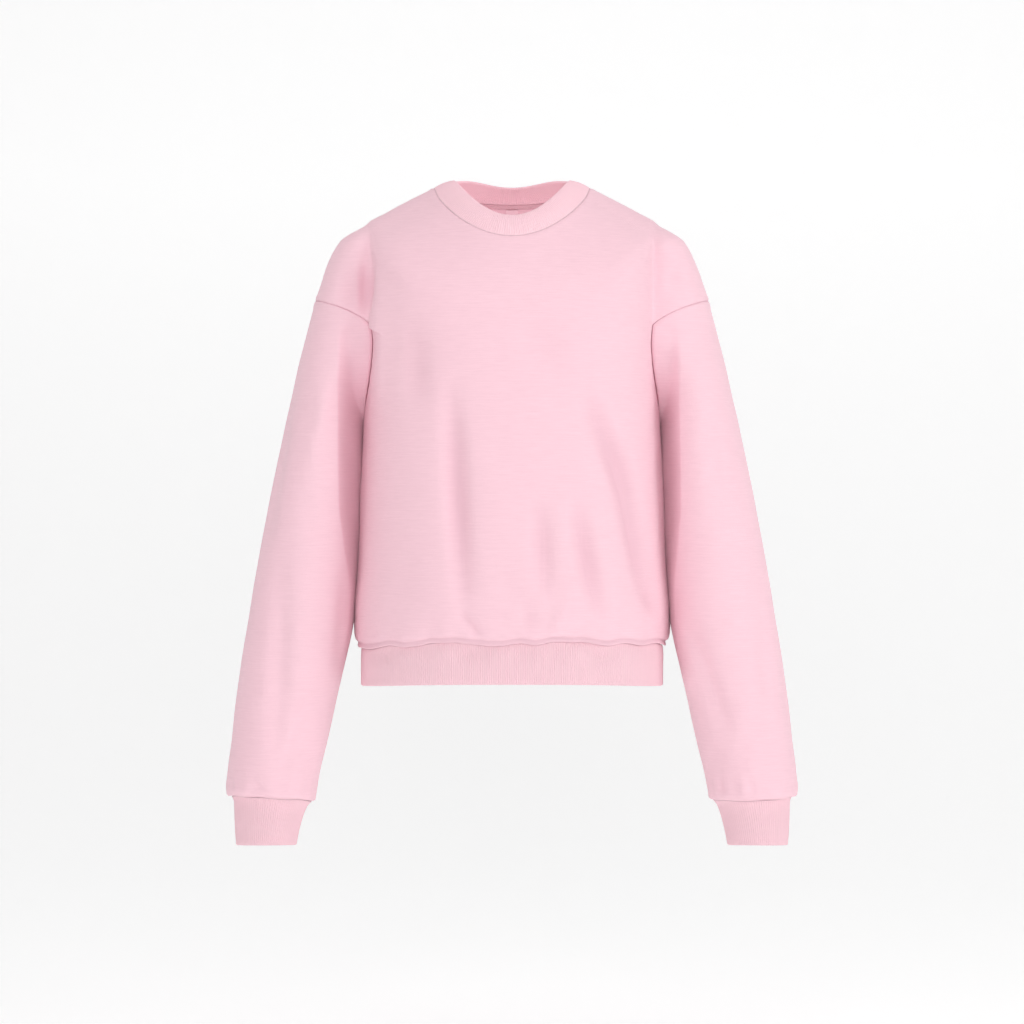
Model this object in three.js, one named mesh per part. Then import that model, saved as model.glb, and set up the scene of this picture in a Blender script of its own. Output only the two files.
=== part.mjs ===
// Crewneck sweatshirt, filled out as when worn, with nobody in it.
// Millimetres, +Z up. The front faces -Y and the wearer's left arm lies along +X.
// The origin is at the level of the neck points, on the middle line, half way from front to back.

import * as THREE from 'three';

// Cloth thicknesses and seams
const FLEECE = 2.2;
const RIB = 3;
const TAPE = 1;
const SEAM_GAP = 0.3;
const LAY_GAP = 0.4;

// Size of the mesh. A quarter of the trunk has its columns up to the crease, and the part of
// the panel that lies over the arm has its own. Rows go down from the neck to the level of the
// crease's foot, on to the underarm, and on to the hem.
const TRUNK_COLUMNS = 10;
const ARM_COLUMNS = 4;
const QUARTER_COLUMNS = TRUNK_COLUMNS + ARM_COLUMNS;
const YOKE_ROWS = 9;
const UNDERARM_ROWS = 6;
const SIDE_ROWS = 11;
const PANEL_ROWS = YOKE_ROWS + UNDERARM_ROWS + SIDE_ROWS;
const ARMHOLE_STEPS = ARM_COLUMNS + UNDERARM_ROWS;
const SLEEVE_COLUMNS = 2 * ARMHOLE_STEPS;
const SLEEVE_ROWS = 24;
const SLEEVE_CROWDING = 0.5;
const BAND_ROWS = 3;

// Where the body turns into the arm: the crease on the panel, in turns of the ring
const CREASE_TURN = 62;
const CREASE_ANGLE = 70;
const CREASE_ROUNDING = 5;
const ROUNDING_WEIGHTS = [1, 2, 3, 2, 1];

// Ways over which the direction of a surface is measured, in turns or millimetres, and in shares
// of the sleeve's length
const NORMAL_STEP = 0.5;
const SLEEVE_NORMAL_STEP = 0.02;

// A table's rows as records, from the names of its columns and its rows of numbers
function table(names, rows) {
  return rows.map((row) => Object.fromEntries(names.map((name, i) => [name, row[i]])));
}

// Levels of the body from the neck seam to the hem seam. Each row is a ring round the body.
// run: way down the side from the neck seam. half, front, back: half width and depths of the
// trunk. middle: where it is widest. wing: how much fuller it is just behind that, under the
// arm. side, chest, spine: height of the ring at the side, front and back. reach: how far the
// shoulder stands out over the arm. square: 2 is an ellipse, and more is squarer.
const BODY_LEVELS = table([
  'run', 'half', 'front', 'back', 'middle', 'wing', 'side', 'chest', 'spine', 'reach', 'square',
], [
  [0, 86, 86, 78, 4, 0, -1, -62, -13, 86, 2],
  [29, 112, 97, 93, 4, 0, -14, -85, -36, 112, 2.05],
  [59, 138, 105, 101, 4, 0, -28, -106, -62, 138, 2.15],
  [84, 158, 110, 106, 4, 0, -40, -124, -86, 163, 2.25],
  [106, 161, 113, 109, 4, 0, -52, -140, -108, 181.5, 2.3],
  [126, 160, 115, 111, 4, 0, -69, -154, -130, 195, 2.3],
  [147, 160, 117, 111, 4, 0, -88, -167, -150, 204, 2.3],
  [168, 160, 118, 110, 4, 0, -108, -178, -168, 211, 2.3],
  [187, 160, 118, 109, 4, 0, -126, -187, -182, 217, 2.3],
  [206, 159, 118, 108, 4, 0, -144, -198, -196, 219, 2.3],
  [236, 158, 118, 107, 5, 0, -174, -215, -216, 158, 2.3],
  [311, 159.5, 119, 106, 10, 1.5, -248, -264, -264, 159.5, 2.3],
  [401, 164, 121, 108, 19, 4, -338, -342, -342, 164, 2.3],
  [481, 168.5, 125, 111, 24, 4, -418, -416, -417, 168.5, 2.3],
  [531, 172.5, 127, 113, 24, 4, -468, -464, -466, 172.5, 2.3],
  [554, 172, 124, 111, 20, 3.5, -491, -484, -487, 172, 2.3],
  [564, 170, 121, 109, 16, 2, -500, -492.5, -496, 170, 2.3],
  [571, 167, 116, 105, 12, 0, -505, -496.5, -500, 167, 2.3],
]);
const HEM_RUN = 571;
const HEM_NORMAL_RISE = 30;
const WING_ANGLE = 100;
const WING_SPAN = 30;

// The shoulder over the arm, from the crease to its outer edge: how far it goes out and down as
// it leaves the crease, how deep its outer edge is, and the overhang at which it is fully formed
const SHOULDER = { across: 0.32, down: 0.5, deep: 62, full: 30 };

// The armhole on the panel, in turns of the ring and ways down the side: its top on the shoulder
// line, the foot of the crease, and from there to the underarm by two bends
const ARMHOLE_TOP_RUN = 187;
const CREASE_FOOT_RUN = 205;
const LOWER_ARMHOLE_TURNS = [62, 60, 69, 90];
const LOWER_ARMHOLE_RUNS = [205, 240, 288, 311];

// The sleeve from the top of the armhole to the cuff seam. outer, inner: distances of its two
// edges from the middle line. centre, deep: middle and half depth from front to back.
const SLEEVE_LEVELS = table(['height', 'outer', 'inner', 'centre', 'deep'], [
  [-126, 216.5, 160, 3, 61],
  [-157, 224.5, 161, 3, 63],
  [-190, 233, 161.5, 3, 64],
  [-234, 243, 162, 1, 64],
  [-278, 252.5, 163, -3, 63],
  [-322, 261.5, 164, -6, 61],
  [-366, 270, 166, -8, 59],
  [-410, 278, 168.5, -9, 57],
  [-454, 285.5, 172, -10, 56],
  [-480, 289.5, 174, -11, 55.5],
  [-497, 292.5, 177, -12, 55],
  [-530, 297.5, 184.5, -13, 54],
  [-563, 302, 192, -15, 52],
  [-607, 306.5, 201.5, -18, 49],
  [-640, 310.5, 209.5, -20, 48],
  [-661, 312.5, 213.5, -21, 47],
  [-668, 311, 215.5, -21, 43],
  [-672, 306, 219, -21, 36],
]);
const CUFF_SEAM = -672;

// The sleeve has the armhole's form at its top and its own from this far below it, inside and
// outside the arm. The mean radius turns degrees round it into a way over the cloth.
const ARMHOLE_FADE = { least: 26, most: 90 };
const SLEEVE_RADIUS = 52;

// Rings of the bands, from seam to edge
const CUFF_LEVELS = table(['height', 'outer', 'inner', 'centre', 'deep'], [
  [-672, 306, 219, -21, 36],
  [-677, 303.5, 223.5, -21, 33],
  [-700, 302.5, 231, -22, 31],
  [-721, 301, 235.5, -23, 29.5],
]);
const CUFF_END = -721;
const HEM_LEVELS = table(['share', 'half', 'front', 'back', 'middle', 'wing'], [
  [0, 167, 116, 105, 12, 0],
  [0.1, 165.5, 114, 103.5, 11, 0],
  [0.6, 166, 113, 103, 10, 0],
  [1, 166, 112, 102, 10, 0],
]);
const HEM_SQUARE = 2.3;
const HEM_EDGE = { side: -547.5, chest: -541, spine: -543 };
const NECK_EDGE = {
  half: 63, front: 72, back: 58, middle: 4, wing: 0, side: 7.5, chest: -36, spine: 6.5, square: 2,
};
const NECK_EDGE_RISE = 4.5;
const NECK_ROLL = 1.5;

// Folds of the front panel. x and z as seen from the front, wide: half width, deep: how far the
// middle goes in. A ridge has a negative depth.
const FOLD_END_SHARE = 0.35;
const FOLD_STEEPNESS = 1.6;
const FRONT_FOLDS = table(['x', 'z', 'toX', 'toZ', 'wide', 'deep'], [
  [-58, -265, -50, -455, 17, 5],
  [-104, -154, -99, -250, 20, 3],
  [-131, -114, -136, -241, 14, -2.5],
  [29, -345, 37, -450, 15, 3],
  [68, -345, 93, -472, 16, 4.5],
  [84, -241, 120, -313, 19, 5],
  [120, -313, 147, -451, 18, 5.5],
  [21, -143, 64, -225, 36, 2.5],
]);
const BACK_FOLDS = table(['x', 'z', 'toX', 'toZ', 'wide', 'deep'], [
  [62, -270, 48, -462, 19, 5],
  [-40, -330, -62, -470, 17, 4.5],
  [-96, -232, -134, -440, 20, 5.5],
  [118, -250, 138, -400, 18, 4],
  [4, -90, 10, -240, 34, 2.5],
]);

// Folds of the sleeves. turn: degrees round the sleeve from its outer edge, over the front.
const SLEEVE_FOLD_COLUMNS = ['turn', 'z', 'toTurn', 'toZ', 'wide', 'deep'];
const SLEEVE_FOLDS = {
  left: table(SLEEVE_FOLD_COLUMNS, [
    [60, -400, 96, -640, 15, 5],
    [96, -190, 84, -310, 16, -3],
    [24, -230, 34, -400, 17, 4],
    [128, -560, 100, -660, 13, 3.5],
    [250, -330, 286, -600, 17, 5],
    [300, -210, 320, -420, 16, 4],
  ]),
  right: table(SLEEVE_FOLD_COLUMNS, [
    [132, -480, 112, -600, 14, 5],
    [74, -200, 84, -380, 17, 3],
    [40, -420, 62, -640, 16, 4],
    [262, -300, 236, -560, 17, 5],
    [306, -260, 292, -620, 16, 4],
  ]),
};

// Folds fade out over this many columns and rows beside the panels' seams, and over these shares
// of the sleeve's length
const PANEL_FADE = { side: 2.5, neck: 3, hem: 1.5 };
const SLEEVE_FADE = { top: 0.125, foot: 0.083 };

// Tape over the back neck seam and the blank tab below it, as parts of the back panel's columns
// and rows, counted from its middle and from the neck seam
const NECK_TAPE = { columns: [-12, 12], steps: 24, rows: [0.05, 0.33] };
const NECK_LABEL = { columns: [-0.6, 0.6], steps: 2, rows: [0.37, 1] };

// Colours of the cloth
const COLOURS = {
  fleece: new THREE.Color('#fbd7df'),
  rib: new THREE.Color('#f3cbd3'),
  tape: new THREE.Color('#eebcc6'),
  label: new THREE.Color('#f8dde2'),
};

const radians = (degrees) => degrees * Math.PI / 180;
const clamp = (value, low, high) => Math.min(high, Math.max(low, value));
const mix = (a, b, share) => a + (b - a) * share;

function smooth(share) {
  const t = clamp(share, 0, 1);
  return t * t * (3 - 2 * t);
}

// A smooth curve through one column of a table, with no overshoot between its rows
function column(rows, key, value) {
  const x = rows.map((row) => row[key]);
  const y = rows.map((row) => row[value]);
  const slopes = x.slice(1).map((next, i) => (y[i + 1] - y[i]) / (next - x[i]));
  const tangents = x.map((_, i) => {
    const before = slopes[Math.max(i - 1, 0)];
    const after = slopes[Math.min(i, slopes.length - 1)];
    return before * after <= 0 ? 0 : 2 * before * after / (before + after);
  });
  const rising = x[1] > x[0] ? 1 : -1;
  return (at) => {
    const held = rising * clamp(rising * at, rising * x[0], rising * x[x.length - 1]);
    let i = 0;
    while (i < x.length - 2 && rising * held > rising * x[i + 1]) i += 1;
    const step = x[i + 1] - x[i];
    const t = (held - x[i]) / step;
    const bow = (1 - t) * (tangents[i] - slopes[i]) - t * (tangents[i + 1] - slopes[i]);
    return mix(y[i], y[i + 1], t) + t * (1 - t) * bow * step;
  };
}

function columns(rows, key) {
  const curves = {};
  for (const name of Object.keys(rows[0])) {
    if (name !== key) curves[name] = column(rows, key, name);
  }
  return curves;
}

const body = columns(BODY_LEVELS, 'run');
const tube = columns(SLEEVE_LEVELS, 'height');
const cuffTube = columns(CUFF_LEVELS, 'height');
const hemRing = columns(HEM_LEVELS, 'share');

const power = (value, square) => Math.sign(value) * Math.abs(value) ** (2 / square);

// A point of a ring round the trunk. turn: 0 in front, 90 at the side, 180 at the back.
function trunkPoint(ring, angle, heightTurn) {
  const c = Math.cos(radians(angle));
  const s = Math.sin(radians(angle));
  const depth = c > 0 ? ring.front + ring.middle : ring.back - ring.middle;
  const lean = Math.cos(radians(heightTurn)) ** 2;
  const end = heightTurn < 90 ? ring.chest : ring.spine;
  const off = clamp((angle - WING_ANGLE) / WING_SPAN, -1, 1);
  const wing = ring.wing * (1 + Math.cos(Math.PI * off)) / 2;
  return new THREE.Vector3(
    ring.half * power(s, ring.square) + wing,
    ring.middle - depth * power(c, ring.square),
    mix(ring.side, end, lean),
  );
}

function bezier(points, t) {
  const [a, b, c, d] = points;
  const u = 1 - t;
  return a * u ** 3 + 3 * b * u * u * t + 3 * c * u * t * t + d * t ** 3;
}

// The trunk's angle at a turn of the panel: the crease is held at one angle
function trunkAngle(turn) {
  const front = Math.min(turn, 180 - turn);
  const angle = front <= CREASE_TURN
    ? front * CREASE_ANGLE / CREASE_TURN
    : CREASE_ANGLE + (front - CREASE_TURN) * (90 - CREASE_ANGLE) / (90 - CREASE_TURN);
  return turn <= 90 ? angle : 180 - angle;
}

function ringAt(run) {
  const ring = {};
  for (const name of Object.keys(body)) ring[name] = body[name](run);
  return ring;
}

// One point of the body's outer face before its crease is rounded and its folds are laid in
function bareBodyPoint(turn, ring) {
  if (turn < 0 || turn > 180) {
    const other = bareBodyPoint(turn < 0 ? -turn : 360 - turn, ring);
    other.x = -other.x;
    return other;
  }
  const point = trunkPoint(ring, trunkAngle(turn), turn);
  const near = Math.min(turn, 180 - turn);
  if (near <= CREASE_TURN || ring.reach <= ring.half) return point;
  const creaseTurn = turn < 90 ? CREASE_TURN : 180 - CREASE_TURN;
  const crease = trunkPoint(ring, trunkAngle(creaseTurn), creaseTurn);
  const way = (near - CREASE_TURN) / (90 - CREASE_TURN);
  const out = ring.reach - ring.half;
  const away = turn < 90 ? -1 : 1;
  const shoulder = new THREE.Vector3(
    bezier([crease.x, crease.x + SHOULDER.across * out, ring.reach, ring.reach], way),
    bezier([
      crease.y,
      crease.y + away * SHOULDER.down * out,
      ring.middle + away * SHOULDER.deep,
      ring.middle,
    ], way),
    point.z,
  );
  return point.lerp(shoulder, smooth(out / SHOULDER.full));
}

// The crease is rounded by the weighted mean of points a little way round the ring

function rounded(turn, place) {
  const point = new THREE.Vector3();
  const total = ROUNDING_WEIGHTS.reduce((sum, weight) => sum + weight);
  ROUNDING_WEIGHTS.forEach((weight, i) => {
    const share = 2 * i / (ROUNDING_WEIGHTS.length - 1) - 1;
    point.addScaledVector(place(turn + share * CREASE_ROUNDING), weight / total);
  });
  return point;
}

function bodyPoint(turn, run) {
  const ring = ringAt(run);
  return rounded(turn, (at) => bareBodyPoint(at, ring));
}

const flipped = (point, side) => new THREE.Vector3(side * point.x, point.y, point.z);

function surfaceNormal(place, a, b, step) {
  const along = place(a + step, b).sub(place(a - step, b));
  const down = place(a, b + step).sub(place(a, b - step));
  return down.cross(along).normalize();
}

const bodyNormal = (turn, run) => surfaceNormal(bodyPoint, turn, run, NORMAL_STEP);

// Place of a grid point of a quarter panel: turn of the ring and way down the side
function panelPlace(column, row) {
  const overArm = column - TRUNK_COLUMNS;
  if (row <= YOKE_ROWS) {
    const turn = overArm <= 0
      ? CREASE_TURN * column / TRUNK_COLUMNS
      : mix(CREASE_TURN, 90, overArm / ARM_COLUMNS);
    const drop = ((90 - Math.max(turn, CREASE_TURN)) / (90 - CREASE_TURN)) ** 2;
    const foot = mix(ARMHOLE_TOP_RUN, CREASE_FOOT_RUN, drop);
    return { turn, run: foot * row / YOKE_ROWS };
  }
  const armShare = Math.min((row - YOKE_ROWS) / UNDERARM_ROWS, 1);
  const sideShare = Math.max((row - YOKE_ROWS - UNDERARM_ROWS) / SIDE_ROWS, 0);
  const edgeTurn = bezier(LOWER_ARMHOLE_TURNS, armShare);
  const edgeRun = mix(bezier(LOWER_ARMHOLE_RUNS, armShare), HEM_RUN, sideShare);
  const middleRun = mix(CREASE_FOOT_RUN, HEM_RUN, (row - YOKE_ROWS) / (PANEL_ROWS - YOKE_ROWS));
  const across = column / TRUNK_COLUMNS;
  return { turn: edgeTurn * across, run: mix(middleRun, edgeRun, smooth(across)) };
}

// How deep the folds lie at a point, in a table of straight folds with soft ends
function foldDepth(folds, a, b, keys) {
  let depth = 0;
  for (const fold of folds) {
    const startA = fold[keys[0]];
    const startB = fold[keys[1]];
    const wayA = fold[keys[2]] - startA;
    const wayB = fold[keys[3]] - startB;
    const long = wayA * wayA + wayB * wayB;
    const share = clamp(((a - startA) * wayA + (b - startB) * wayB) / long, 0, 1);
    const off = Math.hypot(a - startA - share * wayA, b - startB - share * wayB);
    const ends = mix(FOLD_END_SHARE, 1, Math.sin(Math.PI * share));
    depth += fold.deep * ends * Math.exp(-((off / fold.wide) ** 2) * FOLD_STEEPNESS);
  }
  return depth;
}

// How much of a fold is left near the edges of a panel
function foldShare(column, row) {
  const edge = row > YOKE_ROWS ? TRUNK_COLUMNS : QUARTER_COLUMNS;
  const side = smooth((edge - Math.abs(column)) / PANEL_FADE.side);
  return side * smooth(row / PANEL_FADE.neck) * smooth((PANEL_ROWS - row) / PANEL_FADE.hem);
}

function panelPoint(column, row, isBack) {
  const side = column < 0 ? -1 : 1;
  const place = panelPlace(Math.abs(column), row);
  const turn = isBack ? 180 - place.turn : place.turn;
  const point = bodyPoint(turn, place.run);
  const share = foldShare(column, row);
  if (share > 0) {
    const folds = isBack ? BACK_FOLDS : FRONT_FOLDS;
    const depth = foldDepth(folds, side * point.x, point.z, ['x', 'z', 'toX', 'toZ']);
    point.addScaledVector(bodyNormal(turn, place.run), -depth * share);
  }
  return flipped(point, side);
}

// The armhole seam on the body, all round: down the front from the top, then up the back
function armholePlace(index) {
  const isBack = index > ARMHOLE_STEPS;
  const step = isBack ? SLEEVE_COLUMNS - index : index;
  const place = step <= ARM_COLUMNS
    ? panelPlace(QUARTER_COLUMNS - step, YOKE_ROWS)
    : panelPlace(TRUNK_COLUMNS, YOKE_ROWS + step - ARM_COLUMNS);
  return { turn: isBack ? 180 - place.turn : place.turn, run: place.run };
}

const armhole = Array.from({ length: SLEEVE_COLUMNS }, (_, index) => {
  const place = armholePlace(index);
  return { point: bodyPoint(place.turn, place.run), normal: bodyNormal(place.turn, place.run) };
});

function tubePoint(levels, angle, height) {
  const outer = levels.outer(height);
  const inner = levels.inner(height);
  return new THREE.Vector3(
    (outer + inner) / 2 + (outer - inner) / 2 * Math.cos(radians(angle)),
    levels.centre(height) - levels.deep(height) * Math.sin(radians(angle)),
    height,
  );
}

const tubeMiddle = (height) => tubePoint(tube, 0, height).lerp(tubePoint(tube, 180, height), 0.5);

// A point of the right sleeve's outer face: column round it, share 0 at the armhole, 1 at the cuff
function sleevePoint(index, share, folds) {
  const seam = armhole[index].point;
  const angle = 360 * index / SLEEVE_COLUMNS;
  const crowded = share - SLEEVE_CROWDING * Math.sin(2 * Math.PI * share) / (2 * Math.PI);
  const height = mix(seam.z, CUFF_SEAM, crowded);
  const point = tubePoint(tube, angle, height);
  const outerShare = Math.cos(radians(angle / 2)) ** 2;
  const fade = mix(ARMHOLE_FADE.least, ARMHOLE_FADE.most, outerShare);
  const held = 1 - clamp((seam.z - height) / fade, 0, 1);
  point.addScaledVector(seam.clone().sub(tubePoint(tube, angle, seam.z)), held * held);
  if (!folds) return point;
  const around = (turn) => radians(turn) * SLEEVE_RADIUS;
  const laid = folds.map((fold) => (
    { ...fold, turn: around(fold.turn), toTurn: around(fold.toTurn) }
  ));
  const depth = foldDepth(laid, around(angle), height, ['turn', 'z', 'toTurn', 'toZ']);
  const ends = smooth(share / SLEEVE_FADE.top) * smooth((1 - share) / SLEEVE_FADE.foot);
  const inward = tubeMiddle(height).sub(point).normalize();
  return point.addScaledVector(inward, depth * ends);
}

// A sheet is a list of points, each with its place in a grid, and four-sided faces between them
function makeSheet(rowCount, columnsOf, round, place) {
  const sheet = { points: [], faces: [], indices: new Map() };
  const key = (i, j) => `${i},${j}`;
  for (let j = 0; j <= rowCount; j += 1) {
    const [first, last] = columnsOf(j);
    for (let i = first; i <= last; i += 1) {
      sheet.indices.set(key(i, j), sheet.points.length);
      sheet.points.push(place(i, j));
    }
  }
  const [first, last] = columnsOf(0);
  const wrap = (i) => (round && i > last ? first : i);
  for (let j = 0; j < rowCount; j += 1) {
    for (let i = first; i <= last; i += 1) {
      const corners = [[i, j], [i, j + 1], [wrap(i + 1), j + 1], [wrap(i + 1), j]];
      const face = corners.map((corner) => sheet.indices.get(key(...corner)));
      if (face.every((index) => index !== undefined)) sheet.faces.push(face);
    }
  }
  sheet.at = (i, j) => sheet.indices.get(key(i, j));
  return sheet;
}

function faceNormal(points, face) {
  const [a, b, c, d] = face.map((index) => points[index]);
  return c.clone().sub(a).cross(d.clone().sub(b));
}

// Points the faces outwards, and gives each point the mean normal and middle of its faces
function finishSheet(sheet, outward) {
  const middle = Math.floor(sheet.faces.length / 2);
  const probe = sheet.faces[middle];
  if (faceNormal(sheet.points, probe).dot(outward(sheet.points[probe[0]])) < 0) {
    sheet.faces.forEach((face) => face.reverse());
  }
  sheet.normals = sheet.points.map(() => new THREE.Vector3());
  sheet.middles = sheet.points.map(() => new THREE.Vector3());
  for (const face of sheet.faces) {
    const normal = faceNormal(sheet.points, face);
    for (const index of face) {
      sheet.normals[index].add(normal);
      for (const other of face) sheet.middles[index].add(sheet.points[other]);
    }
  }
  const counts = sheet.points.map(() => 0);
  for (const face of sheet.faces) face.forEach((index) => { counts[index] += 4; });
  sheet.normals.forEach((normal) => normal.normalize());
  sheet.middles.forEach((point, index) => point.divideScalar(counts[index]));
  return sheet;
}

// Lays edge points on their seams: the first seam gives the wall's direction there, and each
// seam draws the point back, in the cloth, by half the gap
function laySeams(sheet, seamsOf) {
  for (const [index, seams] of seamsOf) {
    if (seams.length === 0) continue;
    sheet.normals[index].copy(seams[0].normal);
    const shift = new THREE.Vector3();
    for (const seam of seams) {
      const way = sheet.middles[index].clone().sub(sheet.points[index]);
      way.addScaledVector(seam.tangent, -way.dot(seam.tangent));
      way.addScaledVector(seam.normal, -way.dot(seam.normal));
      shift.addScaledVector(way.normalize(), SEAM_GAP / 2);
    }
    sheet.points[index].add(shift);
  }
}

// A closed wall: the sheet, the sheet moved in along its normals, and a rim at each open edge
function wallGeometry(sheet, thickness) {
  const count = sheet.points.length;
  sheet.inner = sheet.points.map((point, index) => (
    point.clone().addScaledVector(sheet.normals[index], -thickness)
  ));
  const triangles = [];
  const wallPoints = [...sheet.points, ...sheet.inner];
  const far = (a, b) => wallPoints[a].distanceToSquared(wallPoints[b]);
  const edges = new Map();
  for (const face of sheet.faces) {
    const [a, b, c, d] = far(face[0], face[2]) <= far(face[1], face[3])
      ? face
      : [face[1], face[2], face[3], face[0]];
    const [e, f, g, h] = [a, b, c, d].map((index) => index + count);
    triangles.push(a, b, c, a, c, d, e, g, f, e, h, g);
    face.forEach((from, i) => edges.set(`${from},${face[(i + 1) % 4]}`, [from, face[(i + 1) % 4]]));
  }
  for (const [from, to] of edges.values()) {
    if (edges.has(`${to},${from}`)) continue;
    const [innerFrom, innerTo] = [from + count, to + count];
    if (far(from, innerTo) <= far(to, innerFrom)) {
      triangles.push(from, innerFrom, innerTo, from, innerTo, to);
    } else {
      triangles.push(from, innerFrom, to, innerFrom, innerTo, to);
    }
  }
  const positions = wallPoints.flatMap((point) => point.toArray());
  const geometry = new THREE.BufferGeometry();
  geometry.setAttribute('position', new THREE.Float32BufferAttribute(positions, 3));
  geometry.setIndex(triangles);
  geometry.computeVertexNormals();
  return geometry;
}

const joined = (a, b) => a.clone().add(b).normalize();

// Seam frames: the point on the seam, the wall's direction there and the seam's own direction
function seamFrames(points, normals) {
  const count = points.length;
  return points.map((point, i) => {
    const tangent = points[(i + 1) % count].clone().sub(points[(i + count - 1) % count]);
    tangent.normalize();
    const normal = normals[i].clone();
    normal.addScaledVector(tangent, -normal.dot(tangent)).normalize();
    return { point, normal, tangent };
  });
}

// Turns of the columns all round the neck or the hem, from the middle of the front by the right
function ringTurns(row) {
  const count = row === 0 ? QUARTER_COLUMNS : TRUNK_COLUMNS;
  const quarter = Array.from({ length: count + 1 }, (_, i) => panelPlace(i, row).turn);
  const half = [...quarter, ...quarter.slice(0, -1).reverse().map((turn) => 180 - turn)];
  return [...half, ...half.slice(1, -1).reverse().map((turn) => -turn)];
}

const neckTurns = ringTurns(0);
const hemTurns = ringTurns(PANEL_ROWS);

// A point of one side's surface taken all round: a negative turn is on the left
const roundBody = (turn, run) => flipped(bodyPoint(Math.abs(turn), run), turn < 0 ? -1 : 1);

function roundBodyNormal(turn, run) {
  return flipped(bodyNormal(Math.abs(turn), run), turn < 0 ? -1 : 1);
}

function neckEdgePoint(turn) {
  const point = trunkPoint(NECK_EDGE, Math.abs(turn), Math.abs(turn));
  if (Math.abs(turn) > 90) point.z += NECK_EDGE_RISE * Math.sin(radians(2 * turn)) ** 2;
  return flipped(point, turn < 0 ? -1 : 1);
}

function neckRoll(turn) {
  const seam = roundBody(turn, 0);
  const along = neckEdgePoint(turn).sub(seam);
  const outward = new THREE.Vector3(seam.x, seam.y, 0).normalize();
  return outward.addScaledVector(along, -outward.dot(along) / along.lengthSq()).normalize();
}

function neckbandPoint(turn, share) {
  const roll = NECK_ROLL * Math.sin(Math.PI * share);
  return roundBody(turn, 0).lerp(neckEdgePoint(turn), share).addScaledVector(neckRoll(turn), roll);
}

const neckSeam = seamFrames(
  neckTurns.map((turn) => roundBody(turn, 0)),
  neckTurns.map((turn) => joined(neckRoll(turn), roundBodyNormal(turn, 1))),
);

const hemSeam = seamFrames(
  hemTurns.map((turn) => roundBody(turn, HEM_RUN)),
  hemTurns.map((turn) => roundBodyNormal(turn, HEM_RUN - HEM_NORMAL_RISE).setZ(0)),
);

function sleeveNormal(index) {
  const place = (at) => sleevePoint((at + SLEEVE_COLUMNS) % SLEEVE_COLUMNS, SLEEVE_NORMAL_STEP);
  const down = place(index).sub(sleevePoint(index, 0));
  const before = place(index - 1);
  const after = place(index + 1);
  return after.sub(before).cross(down).normalize();
}

const armholeSeam = seamFrames(
  armhole.map((place) => place.point),
  armhole.map((place, index) => joined(sleeveNormal(index), place.normal)),
);

const cuffMiddle = tubeMiddle(CUFF_SEAM);
const cuffPoints = armhole.map((_, index) => sleevePoint(index, 1));
const cuffSeam = seamFrames(cuffPoints, cuffPoints.map((point) => point.clone().sub(cuffMiddle)));

// A frame of the straight seams between front and back, on the shoulder and down the side
function sideFrame(column, row) {
  const { run } = panelPlace(column, row);
  const tangent = bodyPoint(90, run + 1).sub(bodyPoint(90, Math.max(run - 1, 0))).normalize();
  return { point: bodyPoint(90, run), normal: bodyNormal(90, Math.max(run, 1)), tangent };
}

const mirroredFrame = (frame, side) => ({
  point: flipped(frame.point, side),
  normal: flipped(frame.normal, side),
  tangent: flipped(frame.tangent, side),
});

// The armhole seam's index at a grid point of the front panel, or none
function armholeIndex(column, row) {
  if (row === YOKE_ROWS && column >= TRUNK_COLUMNS) return QUARTER_COLUMNS - column;
  const lower = row - YOKE_ROWS;
  if (column === TRUNK_COLUMNS && lower > 0 && lower <= UNDERARM_ROWS) return ARM_COLUMNS + lower;
  return undefined;
}

// Seams that a panel's edge point lies on. The first one gives its wall direction.
function panelSeams(i, j, isBack) {
  const column = Math.abs(i);
  const seams = [];
  const index = armholeIndex(column, j);
  if (index !== undefined) {
    seams.push(armholeSeam[isBack ? (SLEEVE_COLUMNS - index) % SLEEVE_COLUMNS : index]);
  }
  if (j === 0) seams.push(neckSeam[isBack ? 2 * QUARTER_COLUMNS - column : column]);
  if (j === PANEL_ROWS) seams.push(hemSeam[isBack ? 2 * TRUNK_COLUMNS - column : column]);
  const onShoulder = column === QUARTER_COLUMNS;
  const onSide = column === TRUNK_COLUMNS && j >= YOKE_ROWS + UNDERARM_ROWS;
  if (onShoulder || onSide) seams.push(sideFrame(column, j));
  return seams.map((frame) => mirroredFrame(frame, i < 0 ? -1 : 1));
}

function panelSheet(isBack) {
  const columnsOf = (j) => {
    const edge = j > YOKE_ROWS ? TRUNK_COLUMNS : QUARTER_COLUMNS;
    return [-edge, edge];
  };
  const sheet = makeSheet(PANEL_ROWS, columnsOf, false, (i, j) => panelPoint(i, j, isBack));
  finishSheet(sheet, () => new THREE.Vector3(0, isBack ? 1 : -1, 0));
  const seamsOf = new Map();
  for (let j = 0; j <= PANEL_ROWS; j += 1) {
    const [first, last] = columnsOf(j);
    for (let i = first; i <= last; i += 1) seamsOf.set(sheet.at(i, j), panelSeams(i, j, isBack));
  }
  laySeams(sheet, seamsOf);
  return sheet;
}

// A tube or ring of rows with columns all round, and seams on its first and last rows
function ringSheet(rowCount, count, place, firstSeam, lastSeam) {
  const sheet = makeSheet(rowCount, () => [0, count - 1], true, place);
  const middle = new THREE.Vector3();
  for (const point of sheet.points) middle.addScaledVector(point, 1 / sheet.points.length);
  finishSheet(sheet, (point) => point.clone().sub(middle));
  const seamsOf = new Map();
  for (let i = 0; i < count; i += 1) {
    if (firstSeam) seamsOf.set(sheet.at(i, 0), [firstSeam[i]]);
    if (lastSeam) seamsOf.set(sheet.at(i, rowCount), [lastSeam[i]]);
  }
  laySeams(sheet, seamsOf);
  return sheet;
}

const group = new THREE.Group();

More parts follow.
